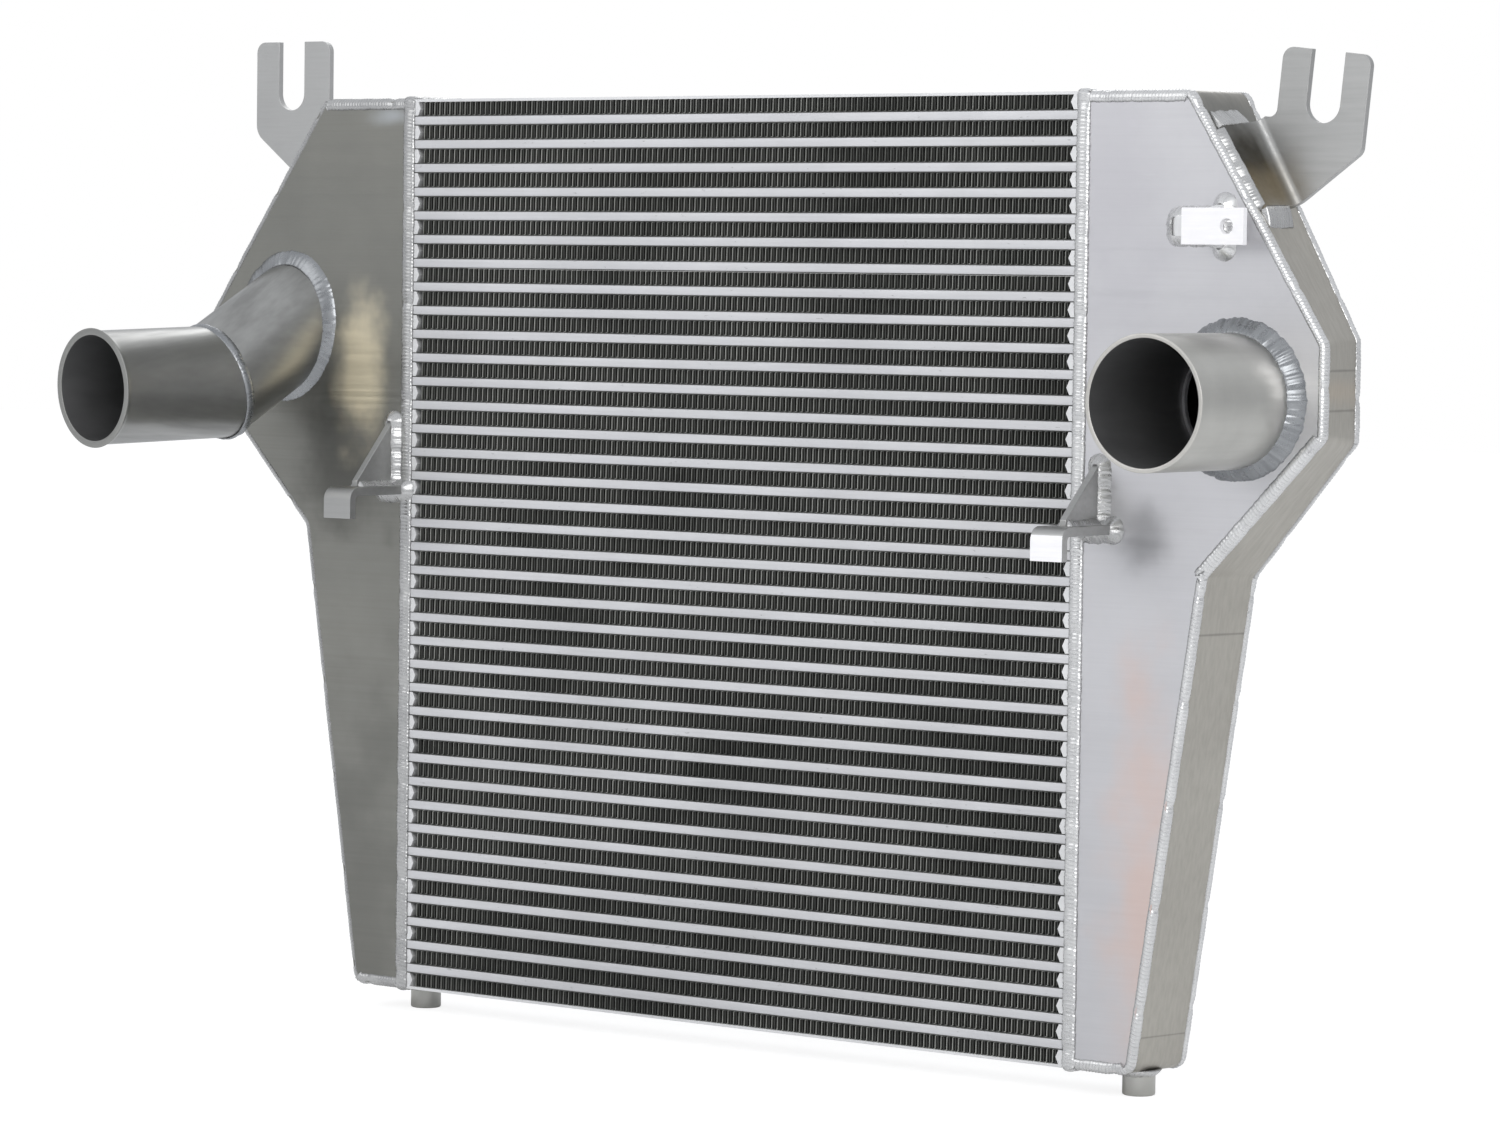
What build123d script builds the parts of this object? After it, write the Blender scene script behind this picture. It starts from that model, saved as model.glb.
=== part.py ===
from build123d import *
from collections import defaultdict
from dataclasses import dataclass
from math import cos, hypot, radians, sin
import os

# Bar-and-plate charge air cooler with fabricated sheet tanks, in millimetres.
# +X runs across the core, +Y is the way the cooling air leaves and +Z is up.
# The origin is midway between the lower ends of the two mounting pins.

# --- Core: stacked passages, brazed together ---
core_width = 591.0
core_depth = 57.15
passage_count = 37  # charge-air passages; there is one more row of ambient fins
passage_height = 6.35
charge_bar_depth = 8.0
sheet_thickness = 0.5
side_plate_thickness = 2.0
fin_height = 9.85
fin_setback = 1.0  # fins stand back from both faces of the core
fin_folds = 3
fin_thickness = 0.5
turbulator_folds = 1
turbulator_thickness = 0.5
turbulator_setback = 10.0  # turbulators end short of the tanks
end_bar_body = 8.2
end_bar_nose = 2.3

# --- Tanks: plates and bent strips ---
tank_wall = 3.2
bend_radius = 10.0
cap_rise = 15.0  # upturned end of a tank's bottom cap
plate_inset = 1.6  # a plate stops this far inside the strip's outer face
rim_lap = 2.6  # rim bead's lap on a plate, from the strip's outer face
rim_depth = 8.0  # rim bead's depth down the strip
rim_rise = 1.2  # how far the bead's shoulders stand proud of the plate and the strip
rim_shoulder = 0.8  # shoulder over the plate, in from the strip's outer face
rim_flank = 3.0  # shoulder over the strip, down from the plate's face
cap_lap = 8.0  # top and bottom beads' lap on a plate
seam_half = 6.0
seam_rise = 1.8

# --- Tubes ---
tube_wall = 3.0
hole_ledge = 2.0  # a tank's hole is this much smaller in radius than its tube's bore
lip_rise = 2.0
lip_length = 5.0
outlet_diameter = 88.9
outlet_length = 109.0
inlet_diameter = 82.55
inlet_yaw = 9.7  # degrees that the inlet leans away from the core
inlet_root_drop = 31.7
inlet_mouth_drop = 2.1
inlet_root_length = 78.4
inlet_mouth_length = 109.3
root_bead_width = 9.6
root_bead_height = 9.0
bead_toe = 0.6

# --- Pins ---
pin_diameter = 22.2
pin_length = 16.6
pin_sleeve_space = 2.0

# --- Lower brackets: flat bar with its end bent down, and a gusset above ---
flat_bar_width = 25.4
flat_bar_thickness = 6.35
flat_bar_reach = 62.0
flat_bar_tab = 22.7
flat_bar_bend = 3.0
gusset_thickness = 5.0
gusset_reach = 43.0
gusset_nose = 4.0
bracket_bead = 5.5

# --- Upper bracket: drilled plate on a flat web and an upright web ---
face_plate_width = 47.5
face_plate_height = 24.0
face_plate_thickness = 4.8
face_plate_hole = 10.0
hole_from_outer_end = 13.0
upper_bracket_reach = 22.0
flat_web_thickness = 13.0
flat_web_flare = 23.5  # how much further the flat web runs along the tank than its plate
upright_web_thickness = 5.0
upright_web_from_outer_end = 28.0
upper_bracket_clearance = 6.5  # between the bracket's weld and the rim bead
upright_web_height = 31.0
web_bead = 4.0

# --- Forks: bent sheet, a flange on the tank's slope and an upright with an open slot ---
fork_thickness = 4.76
fork_bend = 6.0  # inside radius
fork_front = 14.4  # front face of the upright
fork_slot = 25.4
fork_tip_radius = 8.0
fork_throat_radius = 6.0
fork_bead = 13.0


@dataclass(frozen=True)
class ForkSizes:
    """Driving sizes of one fork; the upright's are taken about the centre of its slot's end."""

    start: float  # flange's start, along the slope from the tank's upper corner
    flange: float
    slot_width: float  # centre of the slot's end from the core's end
    slot_drop: float  # and from the tank's top, negative above it
    lean: float  # degrees, away from the core
    inner_prong: float
    outer_prong: float
    prong_length: float
    heel: float  # outer prong's length below the centre
    heel_radius: float


@dataclass(frozen=True)
class Shape:
    """Outline of one face of a tank: widths from the core's end and drops from the tank's top."""

    top_width: float
    full_width: float
    waist_width: float
    foot_width: float
    shoulder_drop: float
    hip_drop: float
    waist_drop: float


@dataclass(frozen=True)
class Tank:
    """Driving sizes of one tank: widths from the core's end and drops from the tank's top."""

    name: str
    side: int  # 1 at the core's +X end, -1 at its -X end
    fore: Shape
    aft: Shape
    pin_width: float
    tube_width: float
    tube_drop: float
    bracket_width: float
    bracket_drop: float
    gusset_height: float
    fork: ForkSizes


right = Tank(
    "right", 1,
    fore=Shape(
        top_width=83.0, full_width=188.5, waist_width=98.5, foot_width=48.5,
        shoulder_drop=163.8, hip_drop=225.5, waist_drop=318.7,
    ),
    aft=Shape(
        top_width=93.0, full_width=182.0, waist_width=106.0, foot_width=56.0,
        shoulder_drop=161.5, hip_drop=228.7, waist_drop=319.3,
    ),
    pin_width=37.6, tube_width=122.3, tube_drop=202.0,
    bracket_width=17.5, bracket_drop=285.9, gusset_height=40.5,
    fork=ForkSizes(
        start=30.0, flange=63.0, slot_width=157.9, slot_drop=8.1, lean=6.0,
        inner_prong=21.8, outer_prong=19.8, prong_length=34.5, heel=29.1, heel_radius=8.0,
    ),
)
left_shape = Shape(
    top_width=83.5, full_width=195.0, waist_width=98.5, foot_width=46.5,
    shoulder_drop=157.4, hip_drop=211.4, waist_drop=313.3,
)
left = Tank(
    "left", -1, fore=left_shape, aft=left_shape,
    pin_width=0.6, tube_width=119.6, tube_drop=166.8,
    bracket_width=12.0, bracket_drop=281.2, gusset_height=47.4,
    fork=ForkSizes(
        start=22.5, flange=60.0, slot_width=155.6, slot_drop=-7.3, lean=0.0,
        inner_prong=25.5, outer_prong=22.6, prong_length=38.5, heel=30.0, heel_radius=14.0,
    ),
)
upper_bracket_drop = 88.8  # the bracket's hole below the right tank's top

# --- Worked-out places ---
front = -core_depth / 2
back = core_depth / 2
core_left = left.pin_width - (core_width + left.pin_width + right.pin_width) / 2
core_right = core_left + core_width
core_middle = (core_left + core_right) / 2
row_pitch = fin_height + passage_height + 2 * sheet_thickness
stack_height = passage_count * row_pitch + fin_height
core_bottom = pin_length
stack_bottom = core_bottom + side_plate_thickness
core_top = stack_bottom + stack_height + side_plate_thickness
end_bar_width = end_bar_body + end_bar_nose
outlet_radius = outlet_diameter / 2
inlet_radius = inlet_diameter / 2
pin_radius = pin_diameter / 2


# --- Shared operations ---
def seam(tank):
    """X of the plane where a tank meets the core."""
    return core_right if tank.side > 0 else core_left


def at(tank, width, drop):
    """Point of the XZ plane, from a width out of the core's end and a drop from the top."""
    return Vector(seam(tank) + tank.side * width, core_top - drop)


def slab(outline, near, far):
    """Plate with an outline drawn in the XZ plane, between two depths along Y."""
    return extrude(Plane.XZ.offset(-far) * make_face(outline), amount=far - near, dir=(0, -1, 0))


def side_plate(outline, near, far):
    """Plate with an outline drawn in the YZ plane, between two places along X."""
    return extrude(Plane.YZ.offset(near) * make_face(outline), amount=far - near, dir=(1, 0, 0))


def block(x, y, z):
    """Box between a low and a high value along each axis."""
    size = (high - low for low, high in (x, y, z))
    return Pos(x[0], y[0], z[0]) * Box(*size, align=(Align.MIN, Align.MIN, Align.MIN))


def turned(profile, frame=Plane.XY):
    """Ring turned about a frame's z axis from (radius, height) points."""
    return frame * revolve(Plane.XZ * make_face(Polyline(*profile, close=True)), Axis.Z)


def save(name, shape):
    """Write one node, as a single solid or as a group of separate solids."""
    pieces = shape if isinstance(shape, list) else [shape]
    solids = [solid for piece in pieces for solid in piece.solids()]
    export_step(solids[0] if len(solids) == 1 else Compound(children=solids), f"parts/{name}.step")


# --- Core ---
def row_floor(row):
    """Bottom of an ambient fin row, counted from the lowest."""
    return stack_bottom + row * row_pitch


def passage_floor(passage):
    """Bottom of a charge-air passage, above its lower parting sheet."""
    return row_floor(passage) + fin_height + sheet_thickness


def folded_strip(length, height, thickness, folds):
    """Zigzag strip as a closed outline, resting on both walls of its passage."""
    corner_count = 2 * folds + 1
    step = length / (corner_count - 1)
    upper = [
        (i * step - length / 2, height / 2 if i % 2 else thickness - height / 2)
        for i in range(corner_count)
    ]
    lower = [(across, up - thickness) for across, up in reversed(upper)]
    return Polyline(*upper, *lower, close=True)


def charge_bars(near):
    """Bars that close the charge-air passages along one face of the core."""
    return [
        block((core_left, core_right), (near, near + charge_bar_depth), (z, z + passage_height))
        for z in map(passage_floor, range(passage_count))
    ]


def parting_sheets():
    """Flat sheets above and below every charge-air passage."""
    floors = [passage_floor(p) - sheet_thickness for p in range(passage_count)]
    ceilings = [passage_floor(p) + passage_height for p in range(passage_count)]
    return [
        block((core_left, core_right), (front, back), (z, z + sheet_thickness))
        for z in floors + ceilings
    ]


def ambient_fins():
    """Folded fin strips, their folds running from the front face to the rear face."""
    length = core_width - 2 * end_bar_width
    strip = folded_strip(length, fin_height, fin_thickness, fin_folds)
    row = slab(strip, front + fin_setback, back - fin_setback)
    return [
        Pos(core_middle, 0, row_floor(r) + fin_height / 2) * row for r in range(passage_count + 1)
    ]


def end_bars(tank):
    """Bars that close the ambient rows at one end of the core, each with a pointed nose."""
    nose = tank.side * -end_bar_width
    shoulder = tank.side * -end_bar_body
    outline = Polyline(
        (0, 0), (shoulder, 0), (nose, fin_height / 2), (shoulder, fin_height), (0, fin_height),
        close=True,
    )
    bar = slab(outline, front, back)
    return [Pos(seam(tank), 0, row_floor(r)) * bar for r in range(passage_count + 1)]


def turbulators():
    """Folded strips inside the charge-air passages, their folds running across the core."""
    width = core_depth - 2 * charge_bar_depth
    strip = folded_strip(width, passage_height, turbulator_thickness, turbulator_folds)
    row = side_plate(strip, core_left + turbulator_setback, core_right - turbulator_setback)
    return [Pos(0, 0, passage_floor(p) + passage_height / 2) * row for p in range(passage_count)]


def core_plate(floor):
    """Side plate that closes the core above or below."""
    return block((core_left, core_right), (front, back), (floor, floor + side_plate_thickness))


# --- Tanks ---
def corners(tank, shape):
    """Corners of a tank's outline, from the core's end over the top and round to the foot."""
    height = core_top - core_bottom
    return [
        at(tank, 0, 0),
        at(tank, shape.top_width, 0),
        at(tank, shape.full_width, shape.shoulder_drop),
        at(tank, shape.full_width, shape.hip_drop),
        at(tank, shape.waist_width, shape.waist_drop),
        at(tank, shape.foot_width, height),
        at(tank, 0, height),
    ]


def outline(tank, shape, inset=0.0, start=0.0):
    """Bent line of a tank's wall, moved inwards; it starts and ends beyond the core's end."""
    points = corners(tank, shape)
    steps = [(b - a).normalized() for a, b in zip(points, points[1:])]
    inward = [Vector(s.Y, -s.X) * tank.side for s in steps]
    bends = list(zip(points[1:-1], inward, inward[1:]))
    moved = [p + (a + b) * (inset / (1 + a.dot(b))) for p, a, b in bends]
    hollow = [Vector(a.Y, -a.X).dot(b) * tank.side < 0 for _, a, b in bends]
    radii = [bend_radius + inset if h else bend_radius - inset for h in hollow]
    along = Vector(tank.side * start, 0)
    first = points[0] + inward[0] * inset + along
    last = points[-1] + inward[-1] * inset + along
    return FilletPolyline(first, *moved, last, radius=radii)


def profile(tank, shape, inset=0.0):
    """Closed outline of a tank, moved inwards everywhere but at the core's end."""
    line = outline(tank, shape, inset)
    return Curve() + line + Line(line @ 1, line @ 0)


def tank_plate(tank, shape, near, hole=None):
    """Front or back plate of a tank, laid on the strip's edge."""
    plate = slab(profile(tank, shape, plate_inset), near, near + tank_wall)
    return plate - hole if hole else plate


def tank_body(tank, inset=0.0):
    """Form of a tank between its plates, moved inwards, from the front's outline to the rear's."""
    near, far = front + tank_wall, back - tank_wall
    fore, aft = profile(tank, tank.fore, inset), profile(tank, tank.aft, inset)
    if tank.fore == tank.aft:
        return slab(fore, near, far)
    start, end = front + rim_depth, back - rim_depth
    faces = Plane.XZ.offset(-start) * make_face(fore), Plane.XZ.offset(-end) * make_face(aft)
    return slab(fore, near, start) + loft(Sketch() + [*faces], ruled=True) + slab(aft, end, far)


def tank_band(tank):
    """Bent wall of a tank between its plates, as one loop open at the core's end."""
    return tank_body(tank) - tank_body(tank, tank_wall)


def cap_line():
    """Level plane at the upper edge of a bottom cap."""
    return Plane.XY.offset(core_bottom + cap_rise)


def rim_bead(tank, shape, face, inwards):
    """Weld bead that fills the open corner between a plate and the strip."""
    path = Plane.XZ.offset(-face) * outline(tank, shape, 0.0, seam_half)
    start = path @ 0

    def place(outward, depth):
        return start + Vector(0, inwards * depth, outward)

    inside = place(0, tank_wall), place(-plate_inset, tank_wall), place(-plate_inset, 0)
    flank = (
        place(-rim_lap, 0),
        place(-rim_shoulder, -rim_rise),
        place(rim_rise, rim_flank),
        place(0, rim_depth),
    )
    return sweep(make_face(Polyline(*inside, *flank, close=True)), path)


def cap_bead(tank, face, inwards, width, level, way):
    """Flat of a top or bottom bead on a plate, beside the rim bead; way points to the plate's middle."""
    near, far = level + way * rim_lap, level + way * cap_lap
    proud = face - inwards * rim_rise
    toe = far - way * rim_rise
    section = Polyline((face, near), (face, far), (proud, toe), (proud, near), close=True)
    ends = seam(tank) + tank.side * seam_half, seam(tank) + tank.side * (width - bend_radius)
    return side_plate(section, min(ends), max(ends))


def rim_weld(tank, shape, face, inwards):
    """Rim bead of one face with the flats of its top and bottom beads."""
    return [
        rim_bead(tank, shape, face, inwards),
        cap_bead(tank, face, inwards, shape.top_width, core_top, -1),
        cap_bead(tank, face, inwards, shape.foot_width, core_bottom, 1),
    ]


def bead_outline(rise):
    """Low round top of a seam bead, drawn about the seam."""
    toes = (-seam_half, 0), (seam_half, 0)
    return Curve() + ThreePointArc(toes[0], (0, rise), toes[1]) + Line(toes[1], toes[0])


def seam_beads(tank, kept_clear):
    """Beads that join a tank to the core, front, rear, top and bottom."""
    x = seam(tank)
    beads = []
    for face, rise in ((front, -seam_rise), (back, seam_rise)):
        height = core_top - core_bottom
        beads.append(Pos(x, face, core_bottom) * extrude(make_face(bead_outline(rise)), amount=height))
    for level, rise in ((core_top, seam_rise), (core_bottom, -seam_rise)):
        beads.append(Pos(x, 0, level) * slab(bead_outline(rise), front, back))
    for piece in kept_clear:
        beads = [bead - piece for bead in beads]
    return beads


# --- Tubes ---
def heading(yaw, drop):
    """Unit direction out of the front, leaning away from the core and falling."""
    level = cos(radians(drop))
    return Vector(-sin(radians(yaw)) * level, -cos(radians(yaw)) * level, -sin(radians(drop)))


def tube_run(radius, start, end, frame, lip=()):
    """Round tube about a frame's z axis, with the points of a rolled lip at its end."""
    inner = radius - tube_wall
    return turned([(inner, start), (radius, start), *(lip or [(radius, end)]), (inner, end)], frame)


outlet_root = Plane(
    Vector(at(right, right.tube_width, 0).X, front, core_top - right.tube_drop), z_dir=(0, -1, 0)
)
inlet_root_way = heading(inlet_yaw, inlet_root_drop)
inlet_mouth_way = heading(inlet_yaw, inlet_mouth_drop)
inlet_root = Plane(
    Vector(at(left, left.tube_width, 0).X, front, core_top - left.tube_drop), z_dir=inlet_root_way
)
inlet_mitre = Plane(
    inlet_root.origin + inlet_root_way * inlet_root_length,
    z_dir=(inlet_root_way + inlet_mouth_way).normalized(),
)
inlet_mouth = Plane(inlet_mitre.origin, z_dir=inlet_mouth_way)
tank_front = Plane((0, front, 0), z_dir=(0, -1, 0))


def bore(radius, frame):
    """Long cutter through a tank's front plate, along a tube."""
    reach = 2 * radius
    return frame * Cylinder(radius, 2 * reach)


def outlet_tube():
    """Straight tube that butts on the right tank's front plate."""
    return tube_run(outlet_radius, 0, outlet_length, outlet_root)


def outlet_bead():
    """Fillet weld round the outlet's root."""
    foot = outlet_radius + root_bead_width
    return turned([(outlet_radius, 0), (foot, 0), (outlet_radius, root_bead_height)], outlet_root)


def inlet_root_run():
    """Run of the inlet from the left tank to the mitre."""
    spare = 2 * inlet_radius
    tube = tube_run(inlet_radius, -spare, inlet_root_length + spare, inlet_root)
    return split(split(tube, tank_front, keep=Keep.TOP), inlet_mitre, keep=Keep.BOTTOM)


def inlet_mouth_run():
    """Run of the inlet from the mitre to the mouth."""
    end = inlet_mouth_length
    lip = (inlet_radius, end - lip_length), (inlet_radius + lip_rise, end)
    tube = tube_run(inlet_radius, -inlet_radius, end, inlet_mouth, lip)
    return split(tube, inlet_mitre, keep=Keep.TOP)


def inlet_bead():
    """Fillet weld round the inlet's root, where the slanted tube meets the plate."""
    slant = -inlet_root_way.Y
    lean = Vector(inlet_root_way.X, 0, inlet_root_way.Z).normalized()

    def ring(height, growth):
        centre = inlet_root.origin + inlet_root_way * (height / slant)
        plane = Plane(centre, x_dir=lean, z_dir=(0, -1, 0))
        return plane * Ellipse(inlet_radius / slant + growth, inlet_radius + growth)

    cone = loft(Sketch() + [ring(0, root_bead_width), ring(root_bead_height, bead_toe)], ruled=True)
    return cone - bore(inlet_radius, inlet_root)


# --- Pins ---
def pin(tank, spare=0):
    """Mounting pin under a tank's foot, or the room that its grommet needs."""
    place = Vector(at(tank, tank.pin_width, 0).X, 0, pin_length / 2)
    return Pos(place) * Cylinder(pin_radius + spare, pin_length)


# --- Lower brackets ---
@dataclass(frozen=True)
class LowerBracket:
    """Pieces of a lower bracket, on the front of one tank."""

    tank: Tank

    @property
    def x(self):
        return at(self.tank, self.tank.bracket_width, 0).X

    @property
    def top(self):
        return core_top - self.tank.bracket_drop

    def bar(self):
        """Flat bar out of the tank, with its end bent down."""
        end = front - flat_bar_reach
        inner = end + flat_bar_thickness
        low = self.top - flat_bar_tab
        under = self.top - flat_bar_thickness
        points = [
            (front, self.top), (end, self.top), (end, low), (inner, low), (inner, under), (front, under),
        ]
        radii = [0, flat_bar_bend + flat_bar_thickness, 0, 0, flat_bar_bend, 0]
        shape = FilletPolyline(*points, radius=radii, close=True)
        return side_plate(shape, self.x - flat_bar_width / 2, self.x + flat_bar_width / 2)

    def gusset(self):
        """Three-cornered gusset between the bar and the tank."""
        apex = self.top + self.tank.gusset_height
        tip = front - gusset_reach
        shape = Polyline(
            (front, self.top), (tip, self.top), (tip, self.top + gusset_nose),
            (front - gusset_nose, apex), (front, apex), close=True,
        )
        return side_plate(shape, self.x - gusset_thickness / 2, self.x + gusset_thickness / 2)

    def bead(self):
        """Fillet welds round the roots of the bar and the gusset."""
        bar_middle = self.top - flat_bar_thickness / 2
        apex = self.top + self.tank.gusset_height
        under = self.top - flat_bar_thickness
        round_bar = weld_pad(self.x, bar_middle, flat_bar_width, flat_bar_thickness, bracket_bead)
        round_gusset = weld_pad(self.x, (apex + under) / 2, gusset_thickness, apex - under, bracket_bead)
        return round_bar + round_gusset - self.bar() - self.gusset()


def weld_pad(x, z, width, height, bead):
    """Pad on the tank's front round a piece of that size, from which its welds are cut."""
    across, up = width / 2, height / 2
    plan = Polyline(
        (x - across - bead, front), (x - across, front - bead),
        (x + across, front - bead), (x + across + bead, front), close=True,
    )
    elevation = Polyline(
        (front, z - up - bead), (front - bead, z - up), (front - bead, z + up), (front, z + up + bead),
        close=True,
    )
    reach = up + bead
    tall = Pos(0, 0, z - reach) * extrude(make_face(plan), amount=2 * reach, dir=(0, 0, 1))
    return tall & side_plate(elevation, x - across - bead, x + across + bead)


# --- Upper bracket ---
def rim_x(drop):
    """X of the inner edge of the right tank's rim bead, on the front's upper slope."""
    shape = right.fore
    flare = (shape.full_width - shape.top_width) / shape.shoulder_drop
    wall = shape.top_width + flare * drop
    return at(right, wall - rim_lap * hypot(1, flare), 0).X


upper_z = core_top - upper_bracket_drop
weld_drop = upper_bracket_drop - upright_web_height / 2 - web_bead
upright_x = rim_x(weld_drop) - upper_bracket_clearance - web_bead - upright_web_thickness / 2
upright_inner = upright_x - upright_web_thickness / 2
upper_outer = upright_x + upright_web_from_outer_end
upper_hole_x = upper_outer - hole_from_outer_end
upper_inner = upper_outer - face_plate_width
upper_front = front - upper_bracket_reach
upper_back = upper_front + face_plate_thickness


def upper_plate():
    """Drilled face plate, parallel to the tank's front."""
    middle = Pos((upper_inner + upper_outer) / 2, upper_z)
    face = middle * Rectangle(face_plate_width, face_plate_height)
    face -= Pos(upper_hole_x, upper_z) * Circle(face_plate_hole / 2)
    return extrude(Plane.XZ.offset(-upper_back) * face, amount=face_plate_thickness, dir=(0, -1, 0))


def upper_flat_web():
    """Level web, flared along the tank away from the hole."""
    shape = Polyline(
        (upper_inner, upper_back), (upright_inner, upper_back), (upright_inner, front),
        (upper_inner - flat_web_flare, front), close=True,
    )
    low = upper_z - flat_web_thickness / 2
    return Pos(0, 0, low) * extrude(make_face(shape), amount=flat_web_thickness, dir=(0, 0, 1))


def upper_upright_web():
    """Upright web, taller at the tank than at the plate."""
    half_tank = upright_web_height / 2
    half_plate = face_plate_height / 2
    shape = Polyline(
        (upper_back, upper_z - half_plate), (upper_back, upper_z + half_plate),
        (front, upper_z + half_tank), (front, upper_z - half_tank), close=True,
    )
    return side_plate(shape, upright_inner, upright_inner + upright_web_thickness)


def upper_beads():
    """Fillet welds round the roots of both webs."""
    web_start = upper_inner - flat_web_flare
    flat_middle = (web_start + upright_inner) / 2
    flat_width = upright_inner - web_start
    pads = weld_pad(flat_middle, upper_z, flat_width, flat_web_thickness, web_bead)
    pads += weld_pad(upright_x, upper_z, upright_web_thickness, upright_web_height, web_bead)
    return pads - upper_flat_web() - upper_upright_web()


# --- Forks ---
@dataclass(frozen=True)
class Fork:
    """Fork bracket on the slope of one tank."""

    tank: Tank

    @property
    def slope(self):
        """Upper corner of the front's slope, its way down and its outward normal, in the XZ plane."""
        top, shoulder = corners(self.tank, self.tank.fore)[1:3]
        down = (shoulder - top).normalized()
        return top, down, Vector(-down.Y, down.X) * self.tank.side

    @property
    def ends(self):
        """Places of the flange's two ends along the slope."""
        return self.tank.fork.start, self.tank.fork.start + self.tank.fork.flange

    def flare(self, along, depth):
        """How far the wall stands out of the front's slope, a distance along it and at a depth."""
        if self.tank.fore == self.tank.aft:
            return 0.0
        top, down, normal = self.slope
        aft_top, aft_shoulder = corners(self.tank, self.tank.aft)[1:3]
        aft_down = (aft_shoulder - aft_top).normalized()
        away = top + down * along - aft_top
        whole = (aft_down * (away.dot(down) / aft_down.dot(down)) - away).dot(normal)
        return whole * (depth - front - rim_depth) / (back - front - 2 * rim_depth)

    def on_slope(self, along, out):
        """Point of the XZ plane at a distance down the slope and out of it."""
        top, down, normal = self.slope
        return top + down * along + normal * out

    def head(self, across, up):
        """Point of the XZ plane in the upright's own frame, whose origin is the slot's centre."""
        centre = at(self.tank, self.tank.fork.slot_width, self.tank.fork.slot_drop)
        lean = radians(self.tank.fork.lean)
        out = across * cos(lean) + up * sin(lean)
        return centre + Vector(self.tank.side * out, up * cos(lean) - across * sin(lean))

    def upright(self):
        """Flat upright with its open slot."""
        sizes = self.tank.fork
        half = fork_slot / 2
        inner = -half - sizes.inner_prong
        outer = half + sizes.outer_prong
        out = fork_thickness + fork_bend
        rear = fork_front + fork_thickness
        upper, lower = self.ends
        points = [
            self.on_slope(upper, out + self.flare(upper, rear)),
            self.head(inner, -half),
            self.head(inner, sizes.prong_length),
            self.head(outer, sizes.prong_length),
            self.head(outer, -sizes.heel),
            self.on_slope(lower, out + self.flare(lower, rear)),
        ]
        radii = [0, fork_throat_radius, fork_tip_radius, fork_tip_radius, sizes.heel_radius, 0]
        shape = FilletPolyline(*points, radius=radii, close=True)
        above = 2 * sizes.prong_length
        slot_line = Curve() + [
            Line(self.head(half, above), self.head(half, 0)),
            ThreePointArc(self.head(half, 0), self.head(0, -half), self.head(-half, 0)),
            Line(self.head(-half, 0), self.head(-half, above)),
            Line(self.head(-half, above), self.head(half, above)),
        ]
        return slab(shape, fork_front, rear) - slab(slot_line, fork_front, rear)

    def flange_end(self, along):
        """Section of the flange and its bend, square to the slope, where the wall leans out to the rear."""
        normal = self.slope[-1]
        start = self.on_slope(along, 0)
        frame = Plane(
            (start.X, 0, start.Y), x_dir=(normal.X, 0, normal.Y),
            z_dir=Vector(normal.X, 0, normal.Y).cross(Vector(0, 1, 0)),
        )
        rear = fork_front + fork_thickness
        flat = front + rim_depth
        lean = self.flare(along, rear)
        out = lean + fork_thickness + fork_bend
        points = [
            (0, flat), (lean, rear), (out, rear),
            (out, fork_front), (lean + fork_thickness, fork_front), (fork_thickness, flat),
        ]
        radii = [0, fork_bend + fork_thickness, 0, 0, fork_bend, 0]
        return frame * make_face(FilletPolyline(*points, radius=radii, close=True))

    def flange(self):
        """Flange on the slope with the bend that carries it into the upright."""
        return loft(Sketch() + [self.flange_end(along) for along in self.ends], ruled=True)

    def solid(self):
        """Whole fork, bent from one piece of sheet."""
        return self.upright() + self.flange()

    def bead(self, edge, way):
        """Weld across one end of the flange; way is along the slope, away from the flange."""

        def section(depth):
            out = self.flare(edge, depth)
            toe = edge + way * fork_bead
            ends = (edge, out), (edge, out + fork_thickness), (toe, self.flare(toe, depth))
            points = [self.on_slope(*point) for point in ends]
            return Plane.XZ.offset(-depth) * make_face(Polyline(*points, close=True))

        return loft(Sketch() + [section(front + rim_depth), section(fork_front - fork_bend)], ruled=True)

    def beads(self):
        """Welds at the two ends of the flange."""
        upper, lower = self.ends
        return [self.bead(upper, -1), self.bead(lower, 1)]


# --- Write the nodes ---
os.makedirs("parts", exist_ok=True)

save("charge_bars_front", charge_bars(front))
save("charge_bars_rear", charge_bars(back - charge_bar_depth))
save("parting_sheets", parting_sheets())
save("ambient_fins", ambient_fins())
save("end_bars_left", end_bars(left))
save("end_bars_right", end_bars(right))
save("turbulators", turbulators())
save("side_plate_top", core_plate(core_top - side_plate_thickness))
save("side_plate_bottom", core_plate(core_bottom))

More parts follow.
